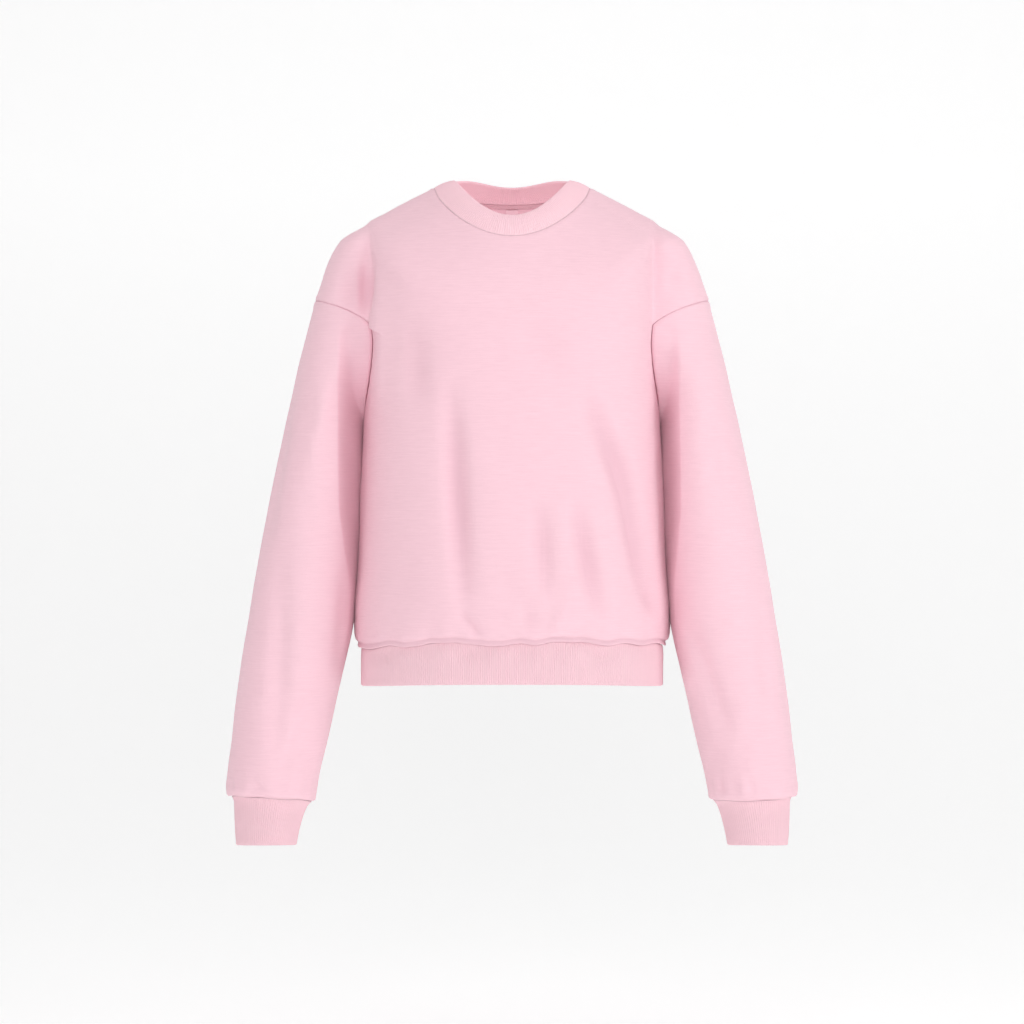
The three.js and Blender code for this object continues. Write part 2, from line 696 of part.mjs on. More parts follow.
function addPiece(name, geometry, colour) {
  const material = new THREE.MeshStandardMaterial({ color: colour, roughness: 0.95, metalness: 0 });
  const mesh = new THREE.Mesh(geometry, material);
  mesh.name = name;
  group.add(mesh);
}

// Front and back panels
const backSheet = panelSheet(true);
addPiece('front_panel', wallGeometry(panelSheet(false), FLEECE), COLOURS.fleece);
addPiece('back_panel', wallGeometry(backSheet, FLEECE), COLOURS.fleece);

// Sleeves and cuffs, each made on the right and turned over for the left
for (const [name, side] of [['left', -1], ['right', 1]]) {
  const folds = SLEEVE_FOLDS[name];
  const frames = (seam) => seam.map((frame) => mirroredFrame(frame, side));
  const sleevePlace = (i, j) => flipped(sleevePoint(i, j / SLEEVE_ROWS, folds), side);
  const sleeve = ringSheet(
    SLEEVE_ROWS, SLEEVE_COLUMNS, sleevePlace, frames(armholeSeam), frames(cuffSeam));
  addPiece(`sleeve_${name}`, wallGeometry(sleeve, FLEECE), COLOURS.fleece);

  const cuffPlace = (i, j) => {
    const height = mix(CUFF_SEAM, CUFF_END, j / BAND_ROWS);
    return flipped(tubePoint(cuffTube, 360 * i / SLEEVE_COLUMNS, height), side);
  };
  const cuff = ringSheet(BAND_ROWS, SLEEVE_COLUMNS, cuffPlace, frames(cuffSeam), undefined);
  addPiece(`cuff_${name}`, wallGeometry(cuff, RIB), COLOURS.rib);
}

// Neckband
const neckband = ringSheet(
  BAND_ROWS, neckTurns.length, (i, j) => neckbandPoint(neckTurns[i], j / BAND_ROWS), neckSeam);
addPiece('neckband', wallGeometry(neckband, RIB), COLOURS.rib);

// Hem band
function hemPoint(turn, share) {
  const level = { square: HEM_SQUARE };
  for (const name of Object.keys(hemRing)) level[name] = hemRing[name](share);
  const seam = ringAt(HEM_RUN);
  for (const name of Object.keys(HEM_EDGE)) level[name] = mix(seam[name], HEM_EDGE[name], share);
  const bare = (at) => {
    const past = at < 0 || at > 180;
    const inRange = at < 0 ? -at : Math.min(at, 360 - at);
    return flipped(trunkPoint(level, trunkAngle(inRange), inRange), past ? -1 : 1);
  };
  return flipped(rounded(Math.abs(turn), bare), turn < 0 ? -1 : 1);
}

const hemBand = ringSheet(
  BAND_ROWS, hemTurns.length, (i, j) => hemPoint(hemTurns[i], j / BAND_ROWS), hemSeam);
addPiece('hem_band', wallGeometry(hemBand, RIB), COLOURS.rib);

// Strips that lie inside the back panel, made from its inner points and moved off them
function backInside(column, row, lift) {
  const i = Math.floor(column);
  const j = Math.min(Math.floor(row), PANEL_ROWS - 1);
  const across = column - i;
  const corner = (di, dj) => {
    const index = backSheet.at(across === 0 ? i : i + di, j + dj);
    return backSheet.inner[index].clone().addScaledVector(backSheet.normals[index], -lift);
  };
  const upper = corner(0, 0).lerp(corner(1, 0), across);
  const lower = corner(0, 1).lerp(corner(1, 1), across);
  return upper.lerp(lower, row - j);
}

function stripGeometry(strip) {
  const place = (lift) => (i, j) => (
    backInside(mix(...strip.columns, i / strip.steps), strip.rows[j], lift)
  );
  const columnsOf = () => [0, strip.steps];
  const sheet = makeSheet(1, columnsOf, false, place(LAY_GAP + TAPE));
  const foot = makeSheet(1, columnsOf, false, place(LAY_GAP));
  finishSheet(sheet, () => new THREE.Vector3(0, -1, 0));
  sheet.normals = sheet.points.map((point, index) => (
    point.clone().sub(foot.points[index]).normalize()
  ));
  return wallGeometry(sheet, TAPE);
}

addPiece('neck_tape', stripGeometry(NECK_TAPE), COLOURS.tape);
addPiece('neck_label', stripGeometry(NECK_LABEL), COLOURS.label);

export default group;
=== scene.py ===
"""Pink crewneck sweatshirt, filled out as when worn, with nobody in it."""

import bpy
import numpy as np
from bpy.props import FloatProperty, FloatVectorProperty, IntProperty, PointerProperty
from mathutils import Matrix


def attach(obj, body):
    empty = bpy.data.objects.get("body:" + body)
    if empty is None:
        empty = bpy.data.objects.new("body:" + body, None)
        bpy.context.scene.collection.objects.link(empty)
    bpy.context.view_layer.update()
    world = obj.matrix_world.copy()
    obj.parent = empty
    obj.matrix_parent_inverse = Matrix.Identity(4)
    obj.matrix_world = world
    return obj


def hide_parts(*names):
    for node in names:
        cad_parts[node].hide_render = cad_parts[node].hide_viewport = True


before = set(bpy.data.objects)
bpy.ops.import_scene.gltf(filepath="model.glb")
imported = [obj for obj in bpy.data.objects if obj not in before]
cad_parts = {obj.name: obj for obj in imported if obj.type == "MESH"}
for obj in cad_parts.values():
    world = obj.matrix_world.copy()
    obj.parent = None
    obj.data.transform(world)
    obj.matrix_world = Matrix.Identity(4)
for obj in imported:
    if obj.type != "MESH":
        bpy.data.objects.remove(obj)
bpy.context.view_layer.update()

FLEECE_WALL = 2.2
RIB_WALL = 3.0

bl_info = {
    "name": "Crewneck Sweatshirt",
    "version": (1, 0, 0),
    "blender": (4, 5, 0),
    "location": "View3D > Sidebar > Sweatshirt",
    "description": "Builds a fleece crewneck sweatshirt with ribbed bands, seam by seam",
    "category": "Object",
}


# Tables of sizes, in millimetres

class Table:
    """Rows of numbers with named columns, and a smooth curve without overshoot through each."""

    def __init__(self, names, rows):
        self.names = names.split()
        self.rows = np.array(rows, float)

    def column(self, name):
        return self.rows[:, self.names.index(name)]

    def at(self, name, place):
        x, y = self.column(self.names[0]), self.column(name)
        rising = 1 if x[1] > x[0] else -1
        x = x * rising
        place = np.clip(np.asarray(place, float) * rising, x[0], x[-1])
        slopes = np.diff(y) / np.diff(x)
        before, after = np.r_[slopes[0], slopes], np.r_[slopes, slopes[-1]]
        total = np.where(before * after > 0, before + after, 1)
        tangents = np.where(before * after > 0, 2 * before * after / total, 0)
        i = np.clip(np.searchsorted(x, place, "right") - 1, 0, len(x) - 2)
        step = x[i + 1] - x[i]
        t = (place - x[i]) / step
        bow = (1 - t) * (tangents[i] - slopes[i]) - t * (tangents[i + 1] - slopes[i])
        return y[i] + (y[i + 1] - y[i]) * t + t * (1 - t) * bow * step

    def ring(self, place):
        return {name: self.at(name, place) for name in self.names[1:]}


BODY = Table("run half front back middle wing side chest spine reach square", [
    [0, 86, 86, 78, 4, 0, -1, -62, -9.5, 86, 2],
    [29, 112, 97, 93, 4, 0, -14, -85, -34.5, 112, 2.1],
    [59, 138, 105, 101, 4, 0, -28, -106, -62, 138, 2.3],
    [84, 158, 110, 106, 4, 0, -40, -124, -86, 163, 2.5],
    [106, 161, 113, 109, 4, 0, -52, -140, -108, 181.5, 2.6],
    [126, 160, 115, 111, 4, 0, -69, -154, -130, 195, 2.6],
    [147, 160, 117, 111, 4, 0, -88, -167, -150, 204, 2.6],
    [168, 160, 118, 110, 4, 0, -108, -178, -168, 211, 2.6],
    [187, 160, 118, 109, 4, 0, -126, -187, -182, 217, 2.6],
    [206, 159, 118, 108, 4, 0, -144, -198, -196, 219, 2.6],
    [236, 158, 118, 107, 5, 0, -174, -215, -216, 158, 2.6],
    [311, 159.5, 119, 106, 10, 4.5, -248, -264, -264, 159.5, 2.6],
    [401, 164, 121, 108, 19, 6, -338, -342, -342, 164, 2.6],
    [481, 168.5, 125, 111, 24, 4, -418, -416, -417, 168.5, 2.6],
    [531, 172.5, 127, 113, 24, 4, -468, -464, -466, 172.5, 2.6],
    [554, 172, 124, 111, 20, 3.5, -491, -484, -487, 172, 2.6],
    [564, 170, 121, 109, 16, 2, -500, -492.5, -496, 170, 2.6],
    [571, 167, 116, 105, 12, 0, -505, -496.5, -500, 167, 2.6],
])
HEM_RUN = 571
CREASE_TURN, CREASE_ANGLE, CREASE_ROUNDING = 62, 70, 3.2
WING_ANGLE, WING_SPAN = 100, 30
SHOULDER = {"across": 0.32, "down": 0.08, "deep": 62, "full": 30}
ARMHOLE_TOP_RUN, CREASE_FOOT_RUN = 187, 205
LOWER_ARMHOLE_TURNS, LOWER_ARMHOLE_RUNS = (62, 60, 69, 90), (205, 240, 288, 311)

SLEEVE = Table("height outer inner centre deep", [
    [-126, 216.5, 160, 3, 61],
    [-157, 224.5, 161, 3, 63],
    [-190, 233, 161.5, 3, 64],
    [-234, 243, 162, 1, 64],
    [-278, 252.5, 163, -3, 63],
    [-322, 261.5, 164, -6, 61],
    [-366, 270, 166, -8, 59],
    [-410, 278, 168.5, -9, 57],
    [-454, 285.5, 172, -10, 56],
    [-480, 289.5, 174, -11, 55.5],
    [-497, 292.5, 177, -12, 55],
    [-530, 297.5, 184.5, -13, 54],
    [-563, 302, 192, -15, 52],
    [-607, 306.5, 201.5, -18, 49],
    [-640, 310.5, 209.5, -20, 48],
    [-661, 311.5, 213.5, -21, 47],
    [-669, 311, 215, -21, 44],
    [-672, 307, 218.5, -21, 37],
])
CUFF = Table("height outer inner centre deep", [
    [-672, 306, 219, -21, 36],
    [-677, 303.5, 223.5, -21, 33],
    [-700, 302.5, 231, -22, 31],
    [-721, 301, 235.5, -23, 29.5],
])
CUFF_SEAM, CUFF_END = -672, -721
CUFF_EDGE_RISE = 2.6
CUFF_SEAM_RISE = {"left": (5.5, 4.4, -1.4), "right": (3.4, 0, 1.2)}
ARMHOLE_FADE = (26, 90)
SLEEVE_RADIUS = 52
HEM = Table("share half front back middle wing", [
    [0, 167, 116, 105, 12, 0],
    [0.1, 165.5, 114, 103.5, 11, 0],
    [0.6, 166, 113, 103, 10, 0],
    [1, 166, 112, 102, 10, 0],
])
HEM_EDGE = {"side": -547.5, "chest": -541, "spine": -543}
NECK_EDGE = {"half": 63, "front": 72, "back": 58, "middle": 4, "wing": 0, "side": 7.5,
             "chest": -37.5, "spine": 6.5, "square": 2}
NECK_EDGE_RISE, NECK_ROLL = 4.5, 1.5

# Grid of the panels: columns up to the crease and over the arm, rows to the crease's foot, on to
# the underarm and on to the hem
TRUNK_COLUMNS, ARM_COLUMNS, YOKE_ROWS, UNDERARM_ROWS, SIDE_ROWS = 10, 4, 9, 6, 11
QUARTER_COLUMNS = TRUNK_COLUMNS + ARM_COLUMNS
PANEL_ROWS = YOKE_ROWS + UNDERARM_ROWS + SIDE_ROWS
ARMHOLE_STEPS = ARM_COLUMNS + UNDERARM_ROWS
SLEEVE_COLUMNS = 2 * ARMHOLE_STEPS
SLEEVE_ROWS = 24

# About how wide a step of the grid is beside the seams, and over how many steps the folds fade out
ARM_COLUMN, TRUNK_COLUMN, YOKE_ROW = 13, 17, 21
SIDE_FADE, NECK_FADE, HEM_FADE = 2.5, 3, 0.8

# Folds: from x, z to toX, toZ as seen from the front, half width and depth. Less than 0 is a ridge.
FRONT_FOLDS = Table("x z toX toZ wide deep", [
    [-64, -228, -50, -462, 14, 9.5],
    [-104, -154, -99, -250, 19, 4.5],
    [-144, -106, -145, -236, 13, -8],
    [29, -345, 37, -450, 13, 6.5],
    [68, -345, 93, -472, 13.5, 8.5],
    [82, -232, 126, -345, 16, 8],
    [113, -292, 149, -462, 15, 9.5],
    [21, -143, 64, -225, 36, 2.5],
    [-55, -463, -31, -491, 6, 4],
    [13, -445, 21, -492, 5.5, 4],
    [-5, -414, -4, -450, 10, 1.6],
    [45, -489, 57, -448, 6.5, -3.4],
    [147, -440, 158, -470, 10, 4],
    [-112, -400, -118, -470, 16, 1.6],
    [-20, -300, -14, -380, 22, -1.4],
    [103, -420, 112, -480, 10, -1.5],
    [-158, -88, -157, -146, 9, 9],
    [-174, -92, -172, -144, 18, 5],
    [183, -86, 172, -118, 11, 3],
])
BACK_FOLDS = Table("x z toX toZ wide deep", [
    [62, -270, 48, -462, 19, 5],
    [-40, -330, -62, -470, 17, 4.5],
    [-96, -232, -134, -440, 20, 5.5],
    [118, -250, 138, -400, 18, 4],
    [4, -90, 10, -240, 34, 2.5],
    [20, -440, 30, -490, 7, 2.4],
    [-86, -452, -74, -492, 8, 2.2],
    [-10, -470, -4, -494, 6, 2],
    [104, -446, 96, -490, 9, -2],
    [-128, -130, -120, -230, 16, 2.6],
    [128, -120, 118, -215, 17, 2.8],
])
SLEEVE_FOLDS = {
    "left": Table("turn z toTurn toZ wide deep", [
        [60, -400, 96, -640, 15, 5],
        [96, -190, 84, -310, 16, -3],
        [24, -230, 34, -400, 17, 4],
        [128, -560, 100, -660, 13, 3.5],
        [250, -330, 286, -600, 17, 5],
        [300, -210, 320, -420, 16, 4],
        [70, -648, 84, -668, 6, 2.4],
        [30, -650, 38, -668, 6, 1.8],
        [140, -420, 150, -540, 12, 2.2],
        [215, -630, 225, -668, 7, 2.2],
    ]),
    "right": Table("turn z toTurn toZ wide deep", [
        [132, -480, 112, -600, 14, 5],
        [74, -200, 84, -380, 17, 3],
        [40, -420, 62, -640, 16, 4],
        [262, -300, 236, -560, 17, 5],
        [306, -260, 292, -620, 16, 4],
        [134, -640, 140, -668, 7, 2.6],
        [96, -646, 92, -668, 6, 1.6],
        [20, -520, 28, -600, 14, 2],
        [280, -640, 268, -668, 7, 2.2],
    ]),
}

# Tucks down the inner sides of the sleeves: how far out each starts, how wide it falls away and how
# far it lies back
SLEEVE_TUCK = {
    "left": Table("height out fall deep", [
        [-150, 186, 30, 10], [-190, 187, 28, 17], [-225, 188, 24, 22], [-257, 188, 18, 24],
        [-345, 187, 15, 25], [-400, 181, 13, 19], [-450, 176, 10, 10], [-520, 183, 10, 0],
    ]),
    "right": Table("height out fall deep", [
        [-150, 179, 26, 6], [-190, 180, 24, 13], [-225, 180.5, 20, 19], [-257, 181, 15, 23],
        [-345, 182.5, 13, 26], [-400, 179, 12, 20], [-450, 176, 10, 10], [-520, 183, 10, 0],
    ]),
}
TUCK_START, TUCK_END = (30, 60), (165, 235)
TUCK_TOP_FADE, TUCK_DEEPEST = 24, 24

# Cross-sections of the cloth beside its seams, as rises: how high, how far from the seam, how wide
SEAM_RISES = {
    "any": [(-0.55, 0, 1.1)],
    "neck": [(0.45, 0, 1.1), (-0.35, 3.9, 0.8)],
    "hem": [(-1.3, 0, 0.9), (2.4, 1.9, 1.6), (-1.9, 5.4, 1.5)],
    "cuff": [(-0.9, 0, 1.4), (0.9, 3, 2.2)],
    "underarm": [(-0.5, 0, 1.4)],
}
TOPSTITCH_RUN, TOPSTITCH_SINK = 3.9, 0.18

# Bands from seam to edge, and the tape and tab inside the back neck: how far off the panel, how much
# further along their middles, how far the tab hangs forward, how thick, and how far off the stitches lie
HEM_LENGTH, NECK_LENGTH, CUFF_LENGTH = 43, 27, 49
TAPE_LIFT, TAPE_CROWN, TAB_LIFT, TAPE_WALL, TAPE_STITCH_LIFT = 0.95, 0.45, 0.9, 0.8, 1.36

# Painted shade: the cloth's colour is darker, a deeper pink, up to this far from a seam, at the foot of a
# fold, down the sleeves' tucks and in a line above the hem ridge
PAINTED_SHADE_REACH = 1.1
# How strongly painted shade darkens the panels' fold troughs and the sleeves' tucks
PANEL_PAINTED_SHADE, SLEEVE_PAINTED_SHADE = 0.62, 0.5
FAR = 99

# Rise of the hem seam above its plain line, along x on the front
HEM_WAVE = Table("x rise", [
    [-170, 0], [-154, -3.2], [-132, 0], [-113, -2.1], [-70, 2], [-15, -2.8], [11, 1], [27, -1.6],
    [46, 2.1], [81, 2.1], [102, -1.2], [120, 2], [140, 1], [156, 3.6], [170, 0],
])


def clamped(value, low=0.0, high=1.0):
    return np.minimum(high, np.maximum(low, value))


def smooth(share):
    t = clamped(share)
    return t * t * (3 - 2 * t)


def power(value, square):
    return np.sign(value) * np.abs(value) ** (2 / square)


def bezier(points, t):
    a, b, c, d = points
    return a * (1 - t) ** 3 + 3 * b * (1 - t) ** 2 * t + 3 * c * (1 - t) * t * t + d * t ** 3


def rise(distance, middle, width):
    """A round rise, 1 high at its middle."""
    return np.exp(-((distance - middle) / width) ** 2)


def rises(distance, seam):
    return sum(high * rise(distance, middle, width) for high, middle, width in SEAM_RISES[seam])


def vector(x, y, z):
    return np.stack(np.broadcast_arrays(x, y, z), -1)


def mirrored(point, way):
    """A point of the right half, on the left where the way is less than 0."""
    return point * vector(np.where(way < 0, -1.0, 1.0), 1, 1)


def unit(v):
    return v / np.maximum(np.linalg.norm(v, axis=-1, keepdims=True), 1e-9)


# The body's outer face

def trunk_point(ring, angle, height_turn):
    c, s = np.cos(np.radians(angle)), np.sin(np.radians(angle))
    depth = np.where(c > 0, ring["front"] + ring["middle"], ring["back"] - ring["middle"])
    lean = np.cos(np.radians(height_turn)) ** 2
    end = np.where(height_turn < 90, ring["chest"], ring["spine"])
    wing = ring["wing"] * (1 + np.cos(np.pi * clamped((angle - WING_ANGLE) / WING_SPAN, -1, 1))) / 2
    return vector(ring["half"] * power(s, ring["square"]) + wing,
                  ring["middle"] - depth * power(c, ring["square"]),
                  ring["side"] + (end - ring["side"]) * lean)


def trunk_angle(turn):
    near = np.minimum(turn, 180 - turn)
    past = CREASE_ANGLE + (near - CREASE_TURN) * (90 - CREASE_ANGLE) / (90 - CREASE_TURN)
    angle = np.where(near <= CREASE_TURN, near * CREASE_ANGLE / CREASE_TURN, past)
    return np.where(turn <= 90, angle, 180 - angle)


def half_turn(turn):
    """The same turn on the right half, and its side: less than 0 on the left."""
    side = np.where((turn < 0) | (turn > 180), -1, 1)
    return np.where(turn < 0, -turn, np.minimum(turn, 360 - turn)), side


def bare_body_point(turn, ring):
    turn, side = half_turn(turn)
    point = trunk_point(ring, trunk_angle(turn), turn)
    near = np.minimum(turn, 180 - turn)
    crease_turn = np.where(turn < 90, CREASE_TURN, 180 - CREASE_TURN)
    crease = trunk_point(ring, trunk_angle(crease_turn), crease_turn)
    way = clamped((near - CREASE_TURN) / (90 - CREASE_TURN))
    out = np.maximum(ring["reach"] - ring["half"], 0)
    away = np.where(turn < 90, -1, 1)
    across = (crease[..., 0], crease[..., 0] + SHOULDER["across"] * out, ring["reach"], ring["reach"])
    deep = (crease[..., 1], crease[..., 1] + away * SHOULDER["down"] * out,
            ring["middle"] + away * SHOULDER["deep"], ring["middle"])
    shoulder = vector(bezier(across, way), bezier(deep, way), point[..., 2])
    share = np.where(near > CREASE_TURN, smooth(out / SHOULDER["full"]), 0)[..., None]
    return mirrored(point + (shoulder - point) * share, side)


def rounded(turn, place, width=CREASE_ROUNDING, taps=9):
    offsets = np.linspace(-1, 1, taps)
    weights = 1 - np.abs(offsets) * (1 - 1 / (taps // 2 + 1))
    return sum(w * place(turn + o * width) for o, w in zip(offsets, weights)) / weights.sum()


def body_point(turn, run):
    turn, run = np.broadcast_arrays(np.asarray(turn, float), np.asarray(run, float))
    ring = BODY.ring(run)
    return rounded(turn, lambda at: bare_body_point(at, ring))


def body_normal(turn, run, step=0.5):
    along = body_point(turn + step, run) - body_point(turn - step, run)
    down = body_point(turn, run + step) - body_point(turn, run - step)
    return unit(np.cross(down, along))


def panel_place(column, row):
    """Turn of the ring and way down the side at a place of a quarter panel's grid."""
    column, row = np.broadcast_arrays(np.asarray(column, float), np.asarray(row, float))
    over_arm = column - TRUNK_COLUMNS
    turn = np.where(over_arm <= 0, CREASE_TURN * column / TRUNK_COLUMNS,
                    CREASE_TURN + (90 - CREASE_TURN) * over_arm / ARM_COLUMNS)
    drop = ((90 - np.maximum(turn, CREASE_TURN)) / (90 - CREASE_TURN)) ** 2
    foot = ARMHOLE_TOP_RUN + (CREASE_FOOT_RUN - ARMHOLE_TOP_RUN) * drop
    arm_share = clamped((row - YOKE_ROWS) / UNDERARM_ROWS)
    side_share = np.maximum((row - YOKE_ROWS - UNDERARM_ROWS) / SIDE_ROWS, 0)
    edge_turn = bezier(LOWER_ARMHOLE_TURNS, arm_share)
    underarm = bezier(LOWER_ARMHOLE_RUNS, arm_share)
    edge_run = underarm + (HEM_RUN - underarm) * side_share
    down = (row - YOKE_ROWS) / (PANEL_ROWS - YOKE_ROWS)
    middle_run = CREASE_FOOT_RUN + (HEM_RUN - CREASE_FOOT_RUN) * down
    across = column / TRUNK_COLUMNS
    lower_run = middle_run + (edge_run - middle_run) * smooth(across)
    on_yoke = row <= YOKE_ROWS
    run = np.where(on_yoke, foot * row / YOKE_ROWS, lower_run)
    return np.where(on_yoke, turn, edge_turn * across), run


def fold_depth(folds, keys, a, b):
    """How far the folds lie into the cloth at a place: round troughs that fade to both ends."""
    depth = np.zeros_like(a)
    start_a, start_b, end_a, end_b = (folds.column(key) for key in keys)
    for fa, fb, ta, tb, wide, deep in zip(
            start_a, start_b, end_a, end_b, folds.column("wide"), folds.column("deep")):
        way_a, way_b = ta - fa, tb - fb
        share = clamped(((a - fa) * way_a + (b - fb) * way_b) / (way_a ** 2 + way_b ** 2))
        off = np.hypot(a - fa - share * way_a, b - fb - share * way_b)
        depth += deep * (0.2 + 0.8 * np.sin(np.pi * share)) * np.exp(-(off / wide) ** 2 * 1.6)
    return depth


def ripple(place, seed, *pitches):
    """An uneven wave from -1 to 1 along a length, the same for the same seed."""
    shifts = np.random.default_rng(seed).random((len(pitches), 2)) * 6.28
    waves = [np.sin(6.28 * place / p + s + 0.7 * np.sin(6.28 * place / (p * 3.7) + q))
             for p, (s, q) in zip(pitches, shifts)]
    return sum(waves) / len(waves)


def hem_rise(point):
    """How far the hem seam is off its plain line at a point of the body."""
    front = HEM_WAVE.at("rise", point[..., 0])
    back = 2.3 * ripple(point[..., 0], 5, 62, 37)
    share = smooth((point[..., 1] + 10) / 60)
    return front * (1 - share) + back * share


def armhole_place(index):
    index = np.asarray(index, float) % SLEEVE_COLUMNS
    is_back = index > ARMHOLE_STEPS
    step = np.where(is_back, SLEEVE_COLUMNS - index, index)
    top_turn, top_run = panel_place(QUARTER_COLUMNS - np.minimum(step, ARM_COLUMNS), YOKE_ROWS)
    low_turn, low_run = panel_place(TRUNK_COLUMNS, YOKE_ROWS + 1e-9 + np.maximum(step - ARM_COLUMNS, 0))
    turn = np.where(step <= ARM_COLUMNS, top_turn, low_turn)
    return np.where(is_back, 180 - turn, turn), np.where(step <= ARM_COLUMNS, top_run, low_run)


def tube_point(levels, angle, height):
    outer, inner = levels.at("outer", height), levels.at("inner", height)
    c, s = np.cos(np.radians(angle)), np.sin(np.radians(angle))
    return vector((outer + inner) / 2 + (outer - inner) / 2 * c,
                  levels.at("centre", height) - levels.at("deep", height) * s, height)


def tube_middle(levels, height):
    return (tube_point(levels, 0, height) + tube_point(levels, 180, height)) / 2


def cuff_rise(angle, side):
    """How far the cuff seam stands above its plain line."""
    toward = (1 + np.cos(np.radians(angle))) / 2
    front = np.sin(np.radians(clamped(angle, 0, 180)))
    outer_rise, front_rise, plain_rise = CUFF_SEAM_RISE[side]
    lift = outer_rise * toward + front_rise * front + plain_rise
    return lift + 0.7 * ripple(angle, 9, 95, 53)


def tuck_depth(side, angle, out, height):
    """How far back the tuck down a sleeve's inner side lies at a place of the sleeve."""
    tuck = SLEEVE_TUCK[side]
    way = clamped((tuck.at("out", height) - out) / tuck.at("fall", height))
    starts = smooth((angle - TUCK_START[0]) / (TUCK_START[1] - TUCK_START[0]))
    ends = smooth((TUCK_END[1] - angle) / (TUCK_END[1] - TUCK_END[0]))
    return tuck.at("deep", height) * (way * (2 - way) * starts * ends)


def sleeve_point(index, share, side):
    """A point of the right sleeve's outer face, with the folds of the side that is named."""
    seam = body_point(*armhole_place(index))
    angle = 360 * index / SLEEVE_COLUMNS
    crowded = share - 0.5 * np.sin(2 * np.pi * share) / (2 * np.pi)
    height = seam[..., 2] + (CUFF_SEAM - seam[..., 2]) * crowded
    point = tube_point(SLEEVE, angle, height)
    fade = ARMHOLE_FADE[0] + (ARMHOLE_FADE[1] - ARMHOLE_FADE[0]) * np.cos(np.radians(angle / 2)) ** 2
    held = 1 - clamped((seam[..., 2] - height) / fade)
    point = point + (seam - tube_point(SLEEVE, angle, seam[..., 2])) * (held ** 2)[..., None]
    to_way = np.pi / 180 * SLEEVE_RADIUS
    folds = Table("way z toWay toZ wide deep", SLEEVE_FOLDS[side].rows * [to_way, 1, to_way, 1, 1, 1])
    depth = fold_depth(folds, ("way", "z", "toWay", "toZ"), np.radians(angle) * SLEEVE_RADIUS, height)
    depth = depth * smooth(share * 8) * smooth((1 - share) * 14)
    foot = rise(height - CUFF_SEAM, 14, 15)
    depth = depth + foot * 1.1 * ripple(angle, 21 if side == "left" else 22, 31, 19, 47)
    point = point + unit(tube_middle(SLEEVE, height) - point) * depth[..., None]
    back = tuck_depth(side, angle, point[..., 0], height)
    point[..., 1] += back * smooth((seam[..., 2] - height) / TUCK_TOP_FADE)
    point[..., 2] += cuff_rise(angle, side) * smooth((share - 0.9) * 10)
    return point


# Walls of cloth

def steps(start, end, pitch, fine_start=False, fine_end=False, least=0.05, growth=1.55):
    """Places from start to end, closer together at the ends where a seam or a crease is."""
    run, size = [], least
    while size < pitch:
        run.append(size)
        size *= growth
    head = np.cumsum([0, *run]) if fine_start else np.array([0.0])
    tail = np.cumsum([0, *run]) if fine_end else np.array([0.0])
    length = abs(end - start)
    room = length - head[-1] - tail[-1]
    count = max(1, round(room / pitch))
    middle = head[-1] + np.arange(1, count) * room / count
    way = np.r_[head, middle, length - tail[::-1]]
    return start + np.sign(end - start) * way


class Cloth:
    """Points of an outer face in a grid, with its faces, and the wall that they make."""

    def __init__(self, points, faces, laid, seam):
        self.points, self.faces, self.laid, self.seam = points, faces, laid, seam

    def normals(self):
        a, b, c, d = (self.points[self.faces[:, i]] for i in range(4))
        across = np.cross(c - a, d - b)
        normals = np.zeros_like(self.points)
        for i in range(4):
            np.add.at(normals, self.faces[:, i], across)
        return unit(normals)

    def facing(self, outward):
        """Turns the faces round if they don't look outwards."""
        if (self.normals() * outward).sum(-1).mean() < 0:
            self.faces = self.faces[:, ::-1]
        return self

    def wall(self, thickness):
        """Both faces and the rims, and each point's share of the way through the cloth."""
        count = len(self.points)
        inner = self.points - self.normals() * thickness
        edges = np.concatenate([self.faces[:, [i, (i + 1) % 4]] for i in range(4)])
        keys = {tuple(e) for e in edges.tolist()}
        rims = [(b, a, a + count, b + count) for a, b in keys if (b, a) not in keys]
        faces = np.concatenate([self.faces, self.faces[:, ::-1] + count, np.array(rims, int)])
        depth = np.r_[np.zeros(count), np.ones(count)]
        return (np.concatenate([self.points, inner]), faces,
                np.concatenate([self.laid, self.laid]), np.r_[self.seam, self.seam], depth)


def grid_faces(rows, columns, wrap=False, keep=None):
    index = np.arange(rows * columns).reshape(rows, columns)
    if wrap:
        index = np.concatenate([index, index[:, :1]], 1)
    a, b, c, d = index[:-1, :-1], index[1:, :-1], index[1:, 1:], index[:-1, 1:]
    faces = np.stack([a, b, c, d], -1).reshape(-1, 4)
    if keep is None:
        return faces
    inside = keep.ravel()
    return faces[inside[faces].all(1)]


def packed(points, faces, laid, seam):
    """The same cloth without the grid places that no face uses."""
    used, faces = np.unique(faces, return_inverse=True)
    return Cloth(points[used], faces.reshape(-1, 4), laid[used], seam[used])


def seam_relief(distance, along, seed, raised):
    """Height off the cloth beside a seam: it dips at the seam and swells and puckers past it."""
    swell = raised * smooth((distance - 0.6) / 1.4) * (1 - smooth((distance - 6) / 3))
    pucker = 0.28 * ripple(along, seed, 8.3, 5.9, 13.1) * rise(distance, 0, 7.5)
    return rises(distance, "any") + swell + pucker


def arc_lengths(points):
    """Lengths along rows and down columns of a grid, in the cloth's own plane."""
    across = np.linalg.norm(np.diff(points, axis=1), axis=-1)
    down = np.linalg.norm(np.diff(points, axis=0), axis=-1)
    u = np.concatenate([np.zeros((len(points), 1)), np.cumsum(across, 1)], 1)
    v = np.concatenate([np.zeros((1, points.shape[1])), np.cumsum(down, 0)], 0)
    return u, v


